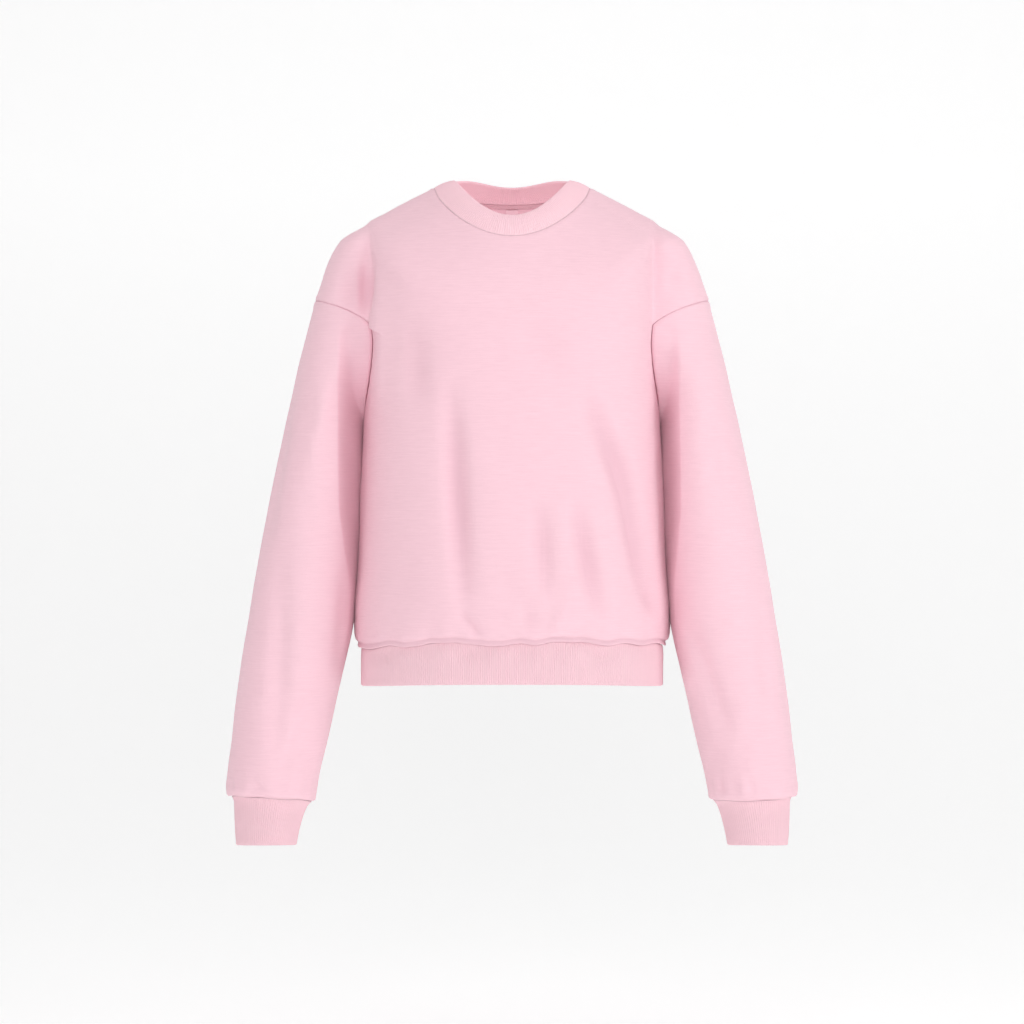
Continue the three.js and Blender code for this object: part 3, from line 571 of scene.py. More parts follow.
def panel_cloth(is_back, pitch):
    """The front or back panel: body, folds, hem ridge and seams, on a grid that is finer at each seam."""
    right = np.r_[steps(0, TRUNK_COLUMNS, pitch, fine_end=True),
                  steps(TRUNK_COLUMNS, QUARTER_COLUMNS, pitch, True, True)[1:]]
    columns = np.r_[-right[:0:-1], right]
    rows = np.r_[steps(0, YOKE_ROWS, pitch, True, True),
                 steps(YOKE_ROWS, PANEL_ROWS, pitch, True, True)[1:]]
    column, row = np.meshgrid(columns, rows)
    side = np.where(column < 0, -1.0, 1.0)
    keep = (row <= YOKE_ROWS) | (np.abs(column) <= TRUNK_COLUMNS)
    turn, run = panel_place(np.where(keep, np.abs(column), TRUNK_COLUMNS), row)
    turn = 180 - turn if is_back else turn
    point = body_point(turn, run)
    normal = body_normal(turn, run)
    edge = np.where(row > YOKE_ROWS, TRUNK_COLUMNS, QUARTER_COLUMNS)
    share = smooth((edge - np.abs(column)) / SIDE_FADE) * smooth(row / NECK_FADE)
    share = share * smooth((PANEL_ROWS - row) / HEM_FADE)
    folds = BACK_FOLDS if is_back else FRONT_FOLDS
    depth = fold_depth(folds, ("x", "z", "toX", "toZ"), side * point[..., 0], point[..., 2]) * share
    u, v = arc_lengths(point)
    u = u - u[:, len(right) - 1:len(right)]
    to_neck, to_hem = run, HEM_RUN - run
    foot = rise(to_hem, 14, 17)
    depth = depth + foot * 1.5 * ripple(side * point[..., 0], 31 if is_back else 33, 41, 23, 67)
    depth = depth + 0.5 * ripple(u + 0.4 * v, 35, 71, 113) * ripple(v, 36, 59, 131)
    to_shoulder = np.where(row <= YOKE_ROWS, (QUARTER_COLUMNS - np.abs(column)) * ARM_COLUMN, FAR)
    to_side = np.where(row > YOKE_ROWS, (TRUNK_COLUMNS - np.abs(column)) * TRUNK_COLUMN, FAR)
    to_armhole = np.where(np.abs(column) >= TRUNK_COLUMNS, np.abs(YOKE_ROWS - row) * YOKE_ROW, FAR)
    to_armhole = np.where(row > YOKE_ROWS, np.minimum(to_armhole, to_side), to_armhole)
    height = seam_relief(to_neck, u, 41, 0.45) + seam_relief(to_shoulder, v, 42, 0.1)
    height = height + seam_relief(to_armhole, u + v, 43, 0.15)
    height = height + rises(to_hem, "hem") + rises(to_neck, "neck")
    point = mirrored(point + normal * (height - depth)[..., None], side)
    point[..., 2] += hem_rise(point) * rise(to_hem, 0, 26)
    laid = np.stack([u, -point[..., 2]], -1)
    # Way to the nearest seam, shortened for painted shade: the colour darkens along each seam, at the foot
    # of each fold and in a line above the hem ridge
    near = 0.3 + np.minimum.reduce([to_neck + 0.5, to_hem, to_shoulder, to_armhole])
    painted_shade = np.maximum(clamped((depth - 1) / 8), 0.9 * rise(to_hem, 5.2, 1.3))
    near = np.minimum(near, PAINTED_SHADE_REACH - PANEL_PAINTED_SHADE * painted_shade)
    faces = grid_faces(len(rows), len(columns), keep=keep)
    cloth = packed(point.reshape(-1, 3), faces, laid.reshape(-1, 2), near.ravel())
    return cloth.facing(np.array([0, 1 if is_back else -1, 0]))


def sleeve_cloth(side, pitch):
    """A sleeve all round, on a grid that is finer over the tuck and at both seams."""
    fine, plain = 5.5, 10.5
    turns = np.r_[np.arange(0, fine, pitch), np.arange(fine, plain, pitch / 2),
                  np.arange(plain, SLEEVE_COLUMNS, pitch)]
    shares = steps(0, SLEEVE_ROWS, pitch, True, True) / SLEEVE_ROWS
    index, share = np.meshgrid(turns, shares)
    point = sleeve_point(index, share, side)
    angle = 360 * index / SLEEVE_COLUMNS
    u = np.radians((angle + 180 - 1e-6) % 360 - 180) * SLEEVE_RADIUS
    _, v = arc_lengths(point)
    count = (len(shares), len(turns))
    faces = grid_faces(*count, wrap=True)
    laid = np.stack([u, -point[..., 2]], -1).reshape(-1, 2)
    from_cuff = v[-1:] - v
    # Painted shade down the tuck, on top of the painted shade along the armhole and cuff seams
    painted_shade = clamped(tuck_depth(side, angle, point[..., 0], point[..., 2]) / TUCK_DEEPEST)
    near = np.minimum.reduce([v + 0.3, from_cuff, PAINTED_SHADE_REACH - SLEEVE_PAINTED_SHADE * painted_shade])
    cloth = Cloth(point.reshape(-1, 3), faces, laid, near.ravel())
    cloth.facing((point - tube_middle(SLEEVE, point[..., 2])).reshape(-1, 3))
    height = seam_relief(v, u, 51, 0.5) + rises(from_cuff, "cuff")
    height = height + rises(np.radians(angle - 180) * SLEEVE_RADIUS, "underarm")
    height = height + 0.45 * ripple(v, 52, 83, 47) * np.sin(np.radians(angle) * 3)
    height = height.reshape(-1, 1)
    cloth.points = cloth.points + cloth.normals() * height
    if side == "left":
        cloth.points[:, 0] *= -1
        cloth.faces = cloth.faces[:, ::-1]
    return cloth


def round_turns(count):
    """Turns all round a ring of the trunk, from the front's middle: less than 0 on the left."""
    turn = np.arange(count) * 360 / count
    return np.where(turn > 180, turn - 360, turn)


def even_turns(place, count):
    """Turns all round a ring, an even way over the cloth apart."""
    turn = np.linspace(0, 360, 1441)
    signed = np.where(turn > 180, turn - 360, turn)
    points = place(signed)
    way = np.r_[0, np.cumsum(np.linalg.norm(np.diff(points, axis=0), axis=1))]
    even = np.interp(np.arange(count) * way[-1] / count, way, turn)
    return np.where(even > 180, even - 360, even)


def round_body(turn, run):
    return mirrored(body_point(np.abs(turn), run), turn)


def neck_edge_point(turn):
    ring = {name: np.float64(value) for name, value in NECK_EDGE.items()}
    around = np.abs(turn)
    point = trunk_point(ring, around, around)
    point[..., 2] += np.where(around > 90, NECK_EDGE_RISE * np.sin(np.radians(2 * around)) ** 2, 0)
    return mirrored(point, turn)


def neckband_point(turn, share):
    seam = round_body(turn, 0)
    along = neck_edge_point(turn) - seam
    out = unit(seam * [1, 1, 0])
    out = unit(out - along * ((out * along).sum(-1) / (along ** 2).sum(-1))[..., None])
    roll = NECK_ROLL * np.sin(np.pi * clamped(share))
    return seam + along * share[..., None] + out * roll[..., None]


def hem_point(turn, share):
    seam = BODY.ring(np.float64(HEM_RUN))
    ring = {name: HEM.at(name, share) for name in ("half", "front", "back", "middle", "wing")}
    ring["square"] = seam["square"]
    for name, value in HEM_EDGE.items():
        ring[name] = seam[name] + (value - seam[name]) * share

    def bare(at):
        at, side = half_turn(at)
        return mirrored(trunk_point(ring, trunk_angle(at), at), side)

    point = mirrored(rounded(np.abs(turn), bare), turn)
    point[..., 2] += hem_rise(point) * (1 - smooth(share * 1.6))
    bulge = 2.2 * ripple(point[..., 0], 61, 83, 47) * rise(share, 0.24, 0.17) - 1.4 * rise(share, 0, 0.05)
    return point + unit(point * [1, 1, 0]) * bulge[..., None]


def cuff_point(angle, share, side):
    point = tube_point(CUFF, angle, CUFF_SEAM + (CUFF_END - CUFF_SEAM) * share)
    point[..., 2] += cuff_rise(angle, side) * (1 - smooth(share * 1.5))
    point[..., 2] += CUFF_EDGE_RISE * np.sin(np.radians(clamped(angle, 0, 180))) * smooth(share)
    bulge = 0.6 * ripple(angle, 63, 71, 113) * np.sin(np.pi * clamped(share))
    return point + unit(point - tube_middle(CUFF, point[..., 2])) * bulge[..., None]


def band_mesh(place, length, ribs, columns_a_rib=6, rows=9, wall=RIB_WALL):
    """A folded band of rib knit: outer face, round edge and inner face, open at the seam only.

    place gives the outer face at a share of a full turn and a share from seam to edge."""
    count = ribs * columns_a_rib
    around = np.arange(count) / count
    edge = wall / 2
    plain = 1 - edge / length
    flat = steps(0, plain, plain / rows, True, least=0.012, growth=1.7)
    bend = np.radians(np.linspace(0, 180, 7))[1:-1]
    share = np.r_[flat, flat[-1] + edge / length * np.sin(bend), flat[::-1]]
    inward = np.r_[np.zeros(len(flat)), edge * (1 - np.cos(bend)), np.full(len(flat), wall)]
    s, a = np.meshgrid(share, around, indexing="ij")
    outer = place(a, s)
    ahead, behind = place((a + 1 / count) % 1, s), place((a - 1 / count) % 1, s)
    step = 0.02
    normal = unit(np.cross(place(a, s + step) - place(a, s - step), ahead - behind))
    away = unit(outer - outer.mean(1, keepdims=True))
    normal = normal * np.sign((normal * away).sum(-1).mean())
    points = outer - normal * inward[:, None, None]
    faces = grid_faces(len(share), count, wrap=True)
    first, last = np.arange(count), np.arange(count) + (len(share) - 1) * count
    closing = np.stack([first, np.roll(first, -1), np.roll(last, -1), last], -1)
    faces = np.concatenate([faces, closing])
    points, face = points.reshape(-1, 3), faces[(len(flat) // 2) * count]
    a_corner, b_corner, c_corner, d_corner = points[face]
    if np.cross(c_corner - a_corner, d_corner - b_corner) @ normal.reshape(-1, 3)[face[0]] < 0:
        faces = faces[:, ::-1]
    laid = np.stack([a * ribs, s * length], -1).reshape(-1, 2)
    # relief: the ribs' height from the seam out, also used for the painted shade between the ribs and at
    # the seam end
    relief = smooth(np.minimum(s * length / 2.5, 1)).ravel()
    depth = clamped(np.broadcast_to(inward[:, None], s.shape) / wall).ravel()
    return points, faces, laid, relief, depth


# Meshes and Geometry Nodes

def new_object(name, points, faces=(), edges=()):
    mesh = bpy.data.meshes.new(name)
    mesh.from_pydata((np.asarray(points) / 1000).tolist(), edges, np.asarray(faces).tolist())
    mesh.polygons.foreach_set("use_smooth", np.full(len(mesh.polygons), True))
    mesh.validate()
    piece = bpy.data.objects.new(name, mesh)
    bpy.context.collection.objects.link(piece)
    return piece


def store(piece, name, kind, values):
    """Keeps numbers with a piece's points, for its material and its node trees."""
    attribute = piece.data.attributes.new(name, kind, "POINT")
    key = "value" if kind == "FLOAT" else "vector"
    attribute.data.foreach_set(key, np.asarray(values, float).ravel())


def knit_object(name, points, faces, laid, depth, **values):
    """A piece that keeps its cloth's own place, its way through the cloth and more, in millimetres."""
    piece = new_object(name, points, faces)
    store(piece, "cloth", "FLOAT_VECTOR", np.c_[laid, np.zeros(len(laid))])
    store(piece, "inside", "FLOAT", depth)
    for key, numbers in values.items():
        store(piece, key, "FLOAT", numbers)
    return piece


def wall_object(name, cloth, thickness):
    points, faces, laid, seam, depth = cloth.wall(thickness)
    # seam: the way to the nearest seam, shortened where painted shade darkens the fleece
    return knit_object(name, points, faces, laid, depth, seam=seam)


class Tree:
    """A node tree being built, for a modifier or a material."""

    def __init__(self, tree):
        self.tree = tree

    def node(self, kind, settings=None, **inputs):
        made = self.tree.nodes.new(kind)
        for key, value in (settings or {}).items():
            setattr(made, key, value)
        for key, value in inputs.items():
            socket = made.inputs[int(key[1:]) if key[0] == "_" else key.replace("_", " ")]
            if isinstance(value, Value):
                value = value.socket
            if isinstance(value, bpy.types.NodeSocket):
                self.tree.links.new(value, socket)
            else:
                socket.default_value = value
        return made

    def value(self, kind, settings=None, output=0, **inputs):
        return Value(self, self.node(kind, settings, **inputs).outputs[output])


class Value:
    """A socket that can be used in sums."""

    def __init__(self, tree, socket):
        self.tree, self.socket = tree, socket

    def sum(self, operation, a, b=0.0):
        return self.tree.value("ShaderNodeMath", {"operation": operation}, _0=a, _1=b)

    def __add__(self, other):
        return self.sum("ADD", self, other)

    def __radd__(self, other):
        return self.sum("ADD", other, self)

    def __sub__(self, other):
        return self.sum("SUBTRACT", self, other)

    def __rsub__(self, other):
        return self.sum("SUBTRACT", other, self)

    def __mul__(self, other):
        return self.sum("MULTIPLY", self, other)

    def __rmul__(self, other):
        return self.sum("MULTIPLY", other, self)

    def sine(self):
        return self.sum("SINE", self)

    def size(self):
        return self.sum("ABSOLUTE", self)

    def clip(self):
        """The value kept from 0 to 1."""
        return self.sum("MINIMUM", self.sum("MAXIMUM", self, 0.0), 1.0)


def node_group(name, inputs):
    """A Geometry Nodes tree with its geometry in and out and the named inputs."""
    group = bpy.data.node_groups.new(name, "GeometryNodeTree")
    group.interface.new_socket("Geometry", in_out="INPUT", socket_type="NodeSocketGeometry")
    for label, kind in inputs:
        group.interface.new_socket(label, in_out="INPUT", socket_type=kind)
    group.interface.new_socket("Geometry", in_out="OUTPUT", socket_type="NodeSocketGeometry")
    tree = Tree(group)
    start = tree.node("NodeGroupInput")
    return tree, {socket.name: Value(tree, socket) for socket in start.outputs if socket.name}


def finish_group(tree, geometry, material):
    whole = tree.value("GeometryNodeRealizeInstances", Geometry=geometry)
    dressed = tree.value("GeometryNodeSetMaterial", Geometry=whole, Material=material)
    tree.node("NodeGroupOutput", Geometry=dressed)
    return tree.tree


def applied(piece, group, **values):
    """The piece with a Geometry Nodes tree run on it, as a plain mesh."""
    modifier = piece.modifiers.new("Pattern", "NODES")
    modifier.node_group = group
    for item in group.interface.items_tree:
        key = item.name.replace(" ", "_")
        if item.in_out == "INPUT" and key in values:
            modifier[item.identifier] = values[key]
    evaluated = piece.evaluated_get(bpy.context.evaluated_depsgraph_get())
    mesh = bpy.data.meshes.new_from_object(evaluated)
    mesh.name = piece.name
    piece.modifiers.clear()
    old = piece.data
    piece.data = mesh
    bpy.data.meshes.remove(old)
    return piece


def rib_tree():
    """Stands the ribs of a rib knit up from a plain band, along its own normals."""
    tree, given = node_group("Rib Knit", [
        ("Rib Depth", "NodeSocketFloat"), ("Material", "NodeSocketMaterial")])
    laid = tree.value("GeometryNodeInputNamedAttribute", {"data_type": "FLOAT_VECTOR"}, Name="cloth")
    around = tree.value("ShaderNodeSeparateXYZ", Vector=laid)
    relief = tree.value("GeometryNodeInputNamedAttribute", {"data_type": "FLOAT"}, Name="relief")
    wave = (around * (2 * np.pi)).sine() * relief * given["Rib Depth"]
    normal = tree.value("GeometryNodeInputNormal")
    offset = tree.value("ShaderNodeVectorMath", {"operation": "SCALE"}, Vector=normal, Scale=wave)
    moved = tree.value("GeometryNodeSetPosition", Geometry=given["Geometry"], Offset=offset)
    return finish_group(tree, moved, given["Material"])


def stitch_tree():
    """Lays stitches along a line on the cloth, each a small rounded length of thread."""
    tree, given = node_group("Stitches", [
        ("Stitch Pitch", "NodeSocketFloat"), ("Stitch Length", "NodeSocketFloat"),
        ("Thread Width", "NodeSocketFloat"), ("Material", "NodeSocketMaterial")])
    line = tree.value("GeometryNodeMeshToCurve", Mesh=given["Geometry"])
    spaced = tree.node("GeometryNodeResampleCurve", Curve=line)
    if "Mode" in spaced.inputs:
        spaced.inputs["Mode"].default_value = "Length"
    else:
        spaced.mode = "LENGTH"
    tree.tree.links.new(given["Stitch Pitch"].socket, spaced.inputs["Length"])
    tangent = tree.value("GeometryNodeInputTangent")
    out = tree.value("GeometryNodeInputNamedAttribute", {"data_type": "FLOAT_VECTOR"}, Name="out")
    along = tree.value("FunctionNodeAlignRotationToVector", {"axis": "X"}, Vector=tangent)
    turned = tree.value("FunctionNodeAlignRotationToVector", {"axis": "Z", "pivot_axis": "X"},
                        Rotation=along, Vector=out)
    thread = tree.value("GeometryNodeMeshUVSphere", Segments=8, Rings=4, Radius=0.5)
    size = tree.value("ShaderNodeCombineXYZ", X=given["Stitch Length"], Y=given["Thread Width"],
                      Z=given["Thread Width"])
    laid = tree.value("GeometryNodeInstanceOnPoints", Points=Value(tree, spaced.outputs[0]),
                      Instance=thread, Rotation=turned, Scale=size)
    smooth_mesh = tree.value("GeometryNodeSetShadeSmooth", Geometry=tree.value(
        "GeometryNodeRealizeInstances", Geometry=laid))
    return finish_group(tree, smooth_mesh, given["Material"])


def line_object(name, points, normals, closed):
    count = len(points)
    edges = [(i, (i + 1) % count) for i in range(count if closed else count - 1)]
    piece = new_object(name, points, edges=edges)
    store(piece, "out", "FLOAT_VECTOR", normals)
    return piece


# Materials

SHEEN_TINT = (1, 0.94, 0.96)
# Painted shade on the cloth's inner face: a darker, deeper pink
INSIDE_PAINTED_SHADE = (0.97, 0.91, 0.92)
RIB_LOOP = 1.3


def new_material(name, colour):
    material = bpy.data.materials.new(name)
    material.use_nodes = True
    material.diffuse_color = (*colour, 1)
    material.node_tree.nodes.clear()
    return material, Tree(material.node_tree)


def cloth_shader(tree, colour, height, distance, rough=0.92, sheen=0.35, tint=(1, 1, 1), strength=1.0):
    bump = tree.value("ShaderNodeBump", Strength=strength, Distance=distance, Height=height)
    shader = tree.node("ShaderNodeBsdfPrincipled", Base_Color=colour, Roughness=rough, Normal=bump,
                       Sheen_Weight=sheen, Sheen_Roughness=0.55, Specular_IOR_Level=0.25)
    shader.inputs["Sheen Tint"].default_value = (*tint, 1)
    tree.node("ShaderNodeOutputMaterial", Surface=shader.outputs[0])


def blended(tree, factor, a, b, kind="MIX"):
    mixed = tree.node("ShaderNodeMix", {"data_type": "RGBA", "blend_type": kind})
    for socket, value in ((mixed.inputs[0], factor), (mixed.inputs[6], a), (mixed.inputs[7], b)):
        if isinstance(value, Value):
            tree.tree.links.new(value.socket, socket)
        else:
            is_colour = isinstance(value, tuple) and len(value) == 3
            socket.default_value = (*value, 1) if is_colour else value
    return Value(tree, mixed.outputs[2])


def shade(colour, amount):
    """A colour times one share, or times one for each channel."""
    return tuple(float(channel) for channel in np.multiply(tuple(colour), amount))


def noise(tree, place, scale, detail=2.0, rough=0.5):
    return tree.value("ShaderNodeTexNoise", Vector=place, Scale=scale, Detail=detail, Roughness=rough)


def stretched(tree, laid, x, y):
    return tree.value("ShaderNodeVectorMath", {"operation": "MULTIPLY"}, _0=laid, _1=(x, y, 1.0))


def stored(tree, name, output=2):
    return tree.value("ShaderNodeAttribute", {"attribute_name": name}, output=output)


def cloth_place(tree):
    """The cloth's own place, and its ways along the courses and down them."""
    laid = stored(tree, "cloth", 1)
    ways = tree.node("ShaderNodeSeparateXYZ", Vector=laid).outputs
    return laid, Value(tree, ways["X"]), Value(tree, ways["Y"])


def fleece_nodes(tree, colour, knit):
    """Brushed-back jersey: fine wales and courses, uneven courses and a soft bloom, with painted shade
    along the seams, in the folds' troughs, down the tucks and on the inner face.
    """
    laid, around, down = cloth_place(tree)
    inside, seam = stored(tree, "inside"), stored(tree, "seam")
    wobble = noise(tree, laid, 0.35, 2.0)
    wale = (around * (2 * np.pi / knit) + wobble * 3.0).sine()
    vee = ((down * (2 * np.pi / (knit * 0.8))) + (around * (np.pi / knit)).sine().size() * 2.6).sine()
    streak = noise(tree, stretched(tree, laid, 0.12, 1.3), 0.55, 3.0, 0.6)
    course = noise(tree, stretched(tree, laid, 0.05, 1.1), 0.5, 2.0, 0.5)
    cloud = noise(tree, laid, 0.012, 3.0, 0.55)
    tone = (streak - 0.5) * 0.6 + (course - 0.5) * 0.4 + (cloud - 0.5) * 0.05 + 0.5
    # Painted shade: darker near the seams, at the foot of folds, down the sleeves' tucks and above the hem
    # ridge, by the stored seam attribute
    tone = tone - (PAINTED_SHADE_REACH - seam).clip() * 0.9
    # The darker end is a deeper pink, used both for the uneven courses and for the painted shade
    light = blended(tree, tone, shade(colour, (0.92, 0.86, 0.885)), shade(colour, 1.08))
    # Painted shade on the inner face
    inner = blended(tree, inside * 0.8, light, INSIDE_PAINTED_SHADE, "MULTIPLY")
    fuzz = noise(tree, laid, 2.2, 3.0, 0.7)
    height = wale * 0.16 + vee * 0.13 + streak * 0.9 + course * 0.5 + fuzz * 0.5
    cloth_shader(tree, inner, height, 0.00022, rough=0.95, sheen=0.22, tint=SHEEN_TINT, strength=0.8)


def rib_nodes(tree, colour, knit):
    """One by one rib: painted shade between the ribs and along the band's seam end, with fine loops along
    each rib.
    """
    laid, around, down = cloth_place(tree)
    inside, relief = stored(tree, "inside"), stored(tree, "relief")
    rib = (around * (2 * np.pi)).sine()
    # Painted shade: the tone follows the ribs' relief, darker in the hollows between ribs on either face
    facing = rib * (1 - inside * 2)
    loop = (down * (2 * np.pi / knit) + rib.size() * 1.8).sine()
    cloud = noise(tree, stretched(tree, laid, 0.4, 0.12), 0.5, 3.0, 0.6)
    tone = facing * relief * 0.1 + (cloud - 0.5) * 0.2 + loop * 0.04 + 0.6
    light = blended(tree, tone, shade(colour, 0.86), shade(colour, 1.06))
    # Painted shade along the band's seam end on the outer face, below the seam's ridge
    edge = blended(tree, ((relief * 2.2) + inside).clip(), shade(colour, 0.72), light)
    # Painted shade on the inner face
    inner = blended(tree, inside * 0.8, edge, INSIDE_PAINTED_SHADE, "MULTIPLY")
    fuzz = noise(tree, stretched(tree, laid, 2.3, 1.0), 2.0, 3.0, 0.7)
    cloth_shader(tree, inner, loop * 0.35 + fuzz * 0.6, 0.0002, rough=0.95, sheen=0.2, tint=SHEEN_TINT)


def tape_nodes(tree, colour):
    """Narrow tape with a herringbone weave."""
    laid, around, down = cloth_place(tree)
    zig = (around * (np.pi / 2.4)).sine().size() * 5.0
    twill = ((down + zig) * (2 * np.pi / 0.9)).sine()
    fuzz = noise(tree, laid, 2.5, 2.0)
    tone = twill * 0.2 + (fuzz - 0.5) * 0.3 + 0.5
    light = blended(tree, tone, shade(colour, 0.9), shade(colour, 1.07))
    cloth_shader(tree, light, twill * 0.5 + fuzz * 0.4, 0.00015, rough=0.85, sheen=0.12)


def label_nodes(tree, colour):
    """Plain woven satin with its long floats across the tab."""
    laid, _, down = cloth_place(tree)
    thread = (down * (2 * np.pi / 0.35)).sine()
    fuzz = noise(tree, stretched(tree, laid, 0.6, 4.0), 1.6, 2.0)
    tone = thread * 0.12 + (fuzz - 0.5) * 0.3 + 0.5
    light = blended(tree, tone, shade(colour, 0.94), shade(colour, 1.04))
    cloth_shader(tree, light, thread * 0.4 + fuzz * 0.3, 0.00008, rough=0.55, sheen=0.05)


def thread_nodes(tree, colour):
    """Twisted sewing thread."""
    place = tree.value("ShaderNodeTexCoord", output=3)
    fuzz = noise(tree, place, 2600.0, 2.0)
    light = blended(tree, fuzz, shade(colour, 0.88), shade(colour, 1.04))
    cloth_shader(tree, light, fuzz, 0.0001, rough=0.7, sheen=0.1)


# Settings that a user would change

def colour_setting(name, description, colour):
    return FloatVectorProperty(
        name=name, description=description, subtype="COLOR", size=3, default=colour, min=0, max=1)


def light_setting(name, description, strength):
    return FloatProperty(name=name, description=description, default=strength, min=0)


def length_setting(name, description, length, least, most):
    return FloatProperty(
        name=name, description=description, default=length, min=least, max=most, unit="LENGTH", precision=5)


class SweatshirtClothSettings(bpy.types.PropertyGroup):
    fleece_colour: colour_setting("Fleece colour", "Colour of the panels and sleeves", (0.93, 0.63, 0.70))
    rib_colour: colour_setting(
        "Rib colour", "Colour of the neckband, cuffs and hem band", (0.92, 0.615, 0.68))
    tape_colour: colour_setting(
        "Tape colour", "Colour of the tape over the back neck seam", (0.96, 0.58, 0.65))
    label_colour: colour_setting("Label colour", "Colour of the blank tab", (0.97, 0.66, 0.73))
    thread_colour: colour_setting("Thread colour", "Colour of the sewing thread", (0.86, 0.52, 0.60))
    neck_paleness: FloatProperty(
        name="Neck paleness", description="How much paler the stretched rib of the neckband is",
        default=1.08, min=0.5, max=1.5)
    knit_pitch: FloatProperty(
        name="Knit pitch", description="Width of one wale of the jersey, in millimetres",
        default=1.1, min=0.5, max=3)
    grid_pitch: FloatProperty(
        name="Grid pitch", description="Size of a face of the panels, in steps of their grid",
        default=0.1667, min=0.1, max=1)


class SweatshirtBandSettings(bpy.types.PropertyGroup):
    hem_ribs: IntProperty(
        name="Hem ribs", description="Ribs all round the hem band", default=384, min=50, max=800)
    cuff_ribs: IntProperty(
        name="Cuff ribs", description="Ribs all round a cuff", default=96, min=20, max=300)
    neck_ribs: IntProperty(
        name="Neck ribs", description="Ribs all round the neckband", default=216, min=50, max=500)
    rib_depth: length_setting("Rib depth", "How far each rib stands out", 0.00027, 0, 0.002)


class SweatshirtStitchSettings(bpy.types.PropertyGroup):
    pitch: length_setting("Stitch pitch", "Way from one stitch to the next", 0.0030, 0.001, 0.01)
    length: length_setting("Stitch length", "Length of thread that shows", 0.0025, 0.0005, 0.008)
    thread: length_setting("Thread width", "Thickness of the thread", 0.00045, 0.0001, 0.002)


class SweatshirtStageSettings(bpy.types.PropertyGroup):
    floor_level: FloatProperty(
        name="Floor level", description="Height of the floor", default=-1.02, unit="LENGTH")
    front_light: light_setting("Front light", "Strength of the large soft light in front", 28)
    side_light: light_setting("Side light", "Strength of the soft light on the right", 29)
    top_light: light_setting("Top light", "Strength of the soft light above", 25)
    fill_light: light_setting("Fill light", "Strength of the soft light on the left", 10)
    neck_light: light_setting("Neck light", "Strength of the small soft light inside the back neck", 0.1)
    sky_light: light_setting("Sky light", "Strength of the even light all round", 0.37)


def material_for(slot):
    """The slot's material, made the first time that it is asked for."""
    cloth = bpy.context.scene.sweatshirt_cloth
    name, nodes, colour, *more = {
        "fleece": ("Pink Fleece", fleece_nodes, cloth.fleece_colour, cloth.knit_pitch),
        "rib": ("Pink Rib", rib_nodes, cloth.rib_colour, RIB_LOOP),
        "neck rib": ("Pale Pink Rib", rib_nodes, shade(cloth.rib_colour, cloth.neck_paleness), RIB_LOOP),
        "tape": ("Pink Tape", tape_nodes, cloth.tape_colour),
        "label": ("Blank Satin", label_nodes, cloth.label_colour),
        "thread": ("Pink Thread", thread_nodes, cloth.thread_colour),
    }[slot]
    material = bpy.data.materials.get(name)
    if not material:
        material, tree = new_material(name, tuple(colour))
        nodes(tree, tuple(colour), *more)
    return material


def settle(piece, slot, *nodes):
    """Puts a finished piece on the garment's one body."""
    if not piece.data.materials:
        piece.data.materials.append(material_for(slot))
    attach(piece, "root")
    if nodes:
        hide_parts(*nodes)


def stitched(name, points, normals, closed):
    stitches = bpy.context.scene.sweatshirt_stitches
    group = bpy.data.node_groups.get("Stitches") or stitch_tree()
    piece = line_object(name, points, normals, closed)
    applied(piece, group, Stitch_Pitch=stitches.pitch, Stitch_Length=stitches.length,
            Thread_Width=stitches.thread, Material=material_for("thread"))
    settle(piece, "thread")


def ribbed(name, mesh, node, slot="rib"):
    points, faces, laid, relief, depth = mesh
    piece = knit_object(name, points, faces, laid, depth, relief=relief)
    group = bpy.data.node_groups.get("Rib Knit") or rib_tree()
    bands = bpy.context.scene.sweatshirt_bands
    applied(piece, group, Rib_Depth=bands.rib_depth, Material=material_for(slot))
    settle(piece, "rib", node)
    return piece


class SWEATSHIRT_OT_panels(bpy.types.Operator):
    """Build the front and back panels"""
    bl_idname = "sweatshirt.panels"
    bl_label = "Panels"

    def execute(self, context):
        pitch = context.scene.sweatshirt_cloth.grid_pitch
        for name, is_back, area in (("front_panel", False, 0.221), ("back_panel", True, 0.210)):
            piece = wall_object(f"{name}_cloth", panel_cloth(is_back, pitch), FLEECE_WALL)
            settle(piece, "fleece", name)
        return {"FINISHED"}


class SWEATSHIRT_OT_sleeves(bpy.types.Operator):
    """Build both sleeves"""
    bl_idname = "sweatshirt.sleeves"
    bl_label = "Sleeves"

    def execute(self, context):
        pitch = context.scene.sweatshirt_cloth.grid_pitch
        for side in ("left", "right"):
            piece = wall_object(f"sleeve_{side}_cloth", sleeve_cloth(side, pitch), FLEECE_WALL)
            settle(piece, "fleece", f"sleeve_{side}")
        return {"FINISHED"}


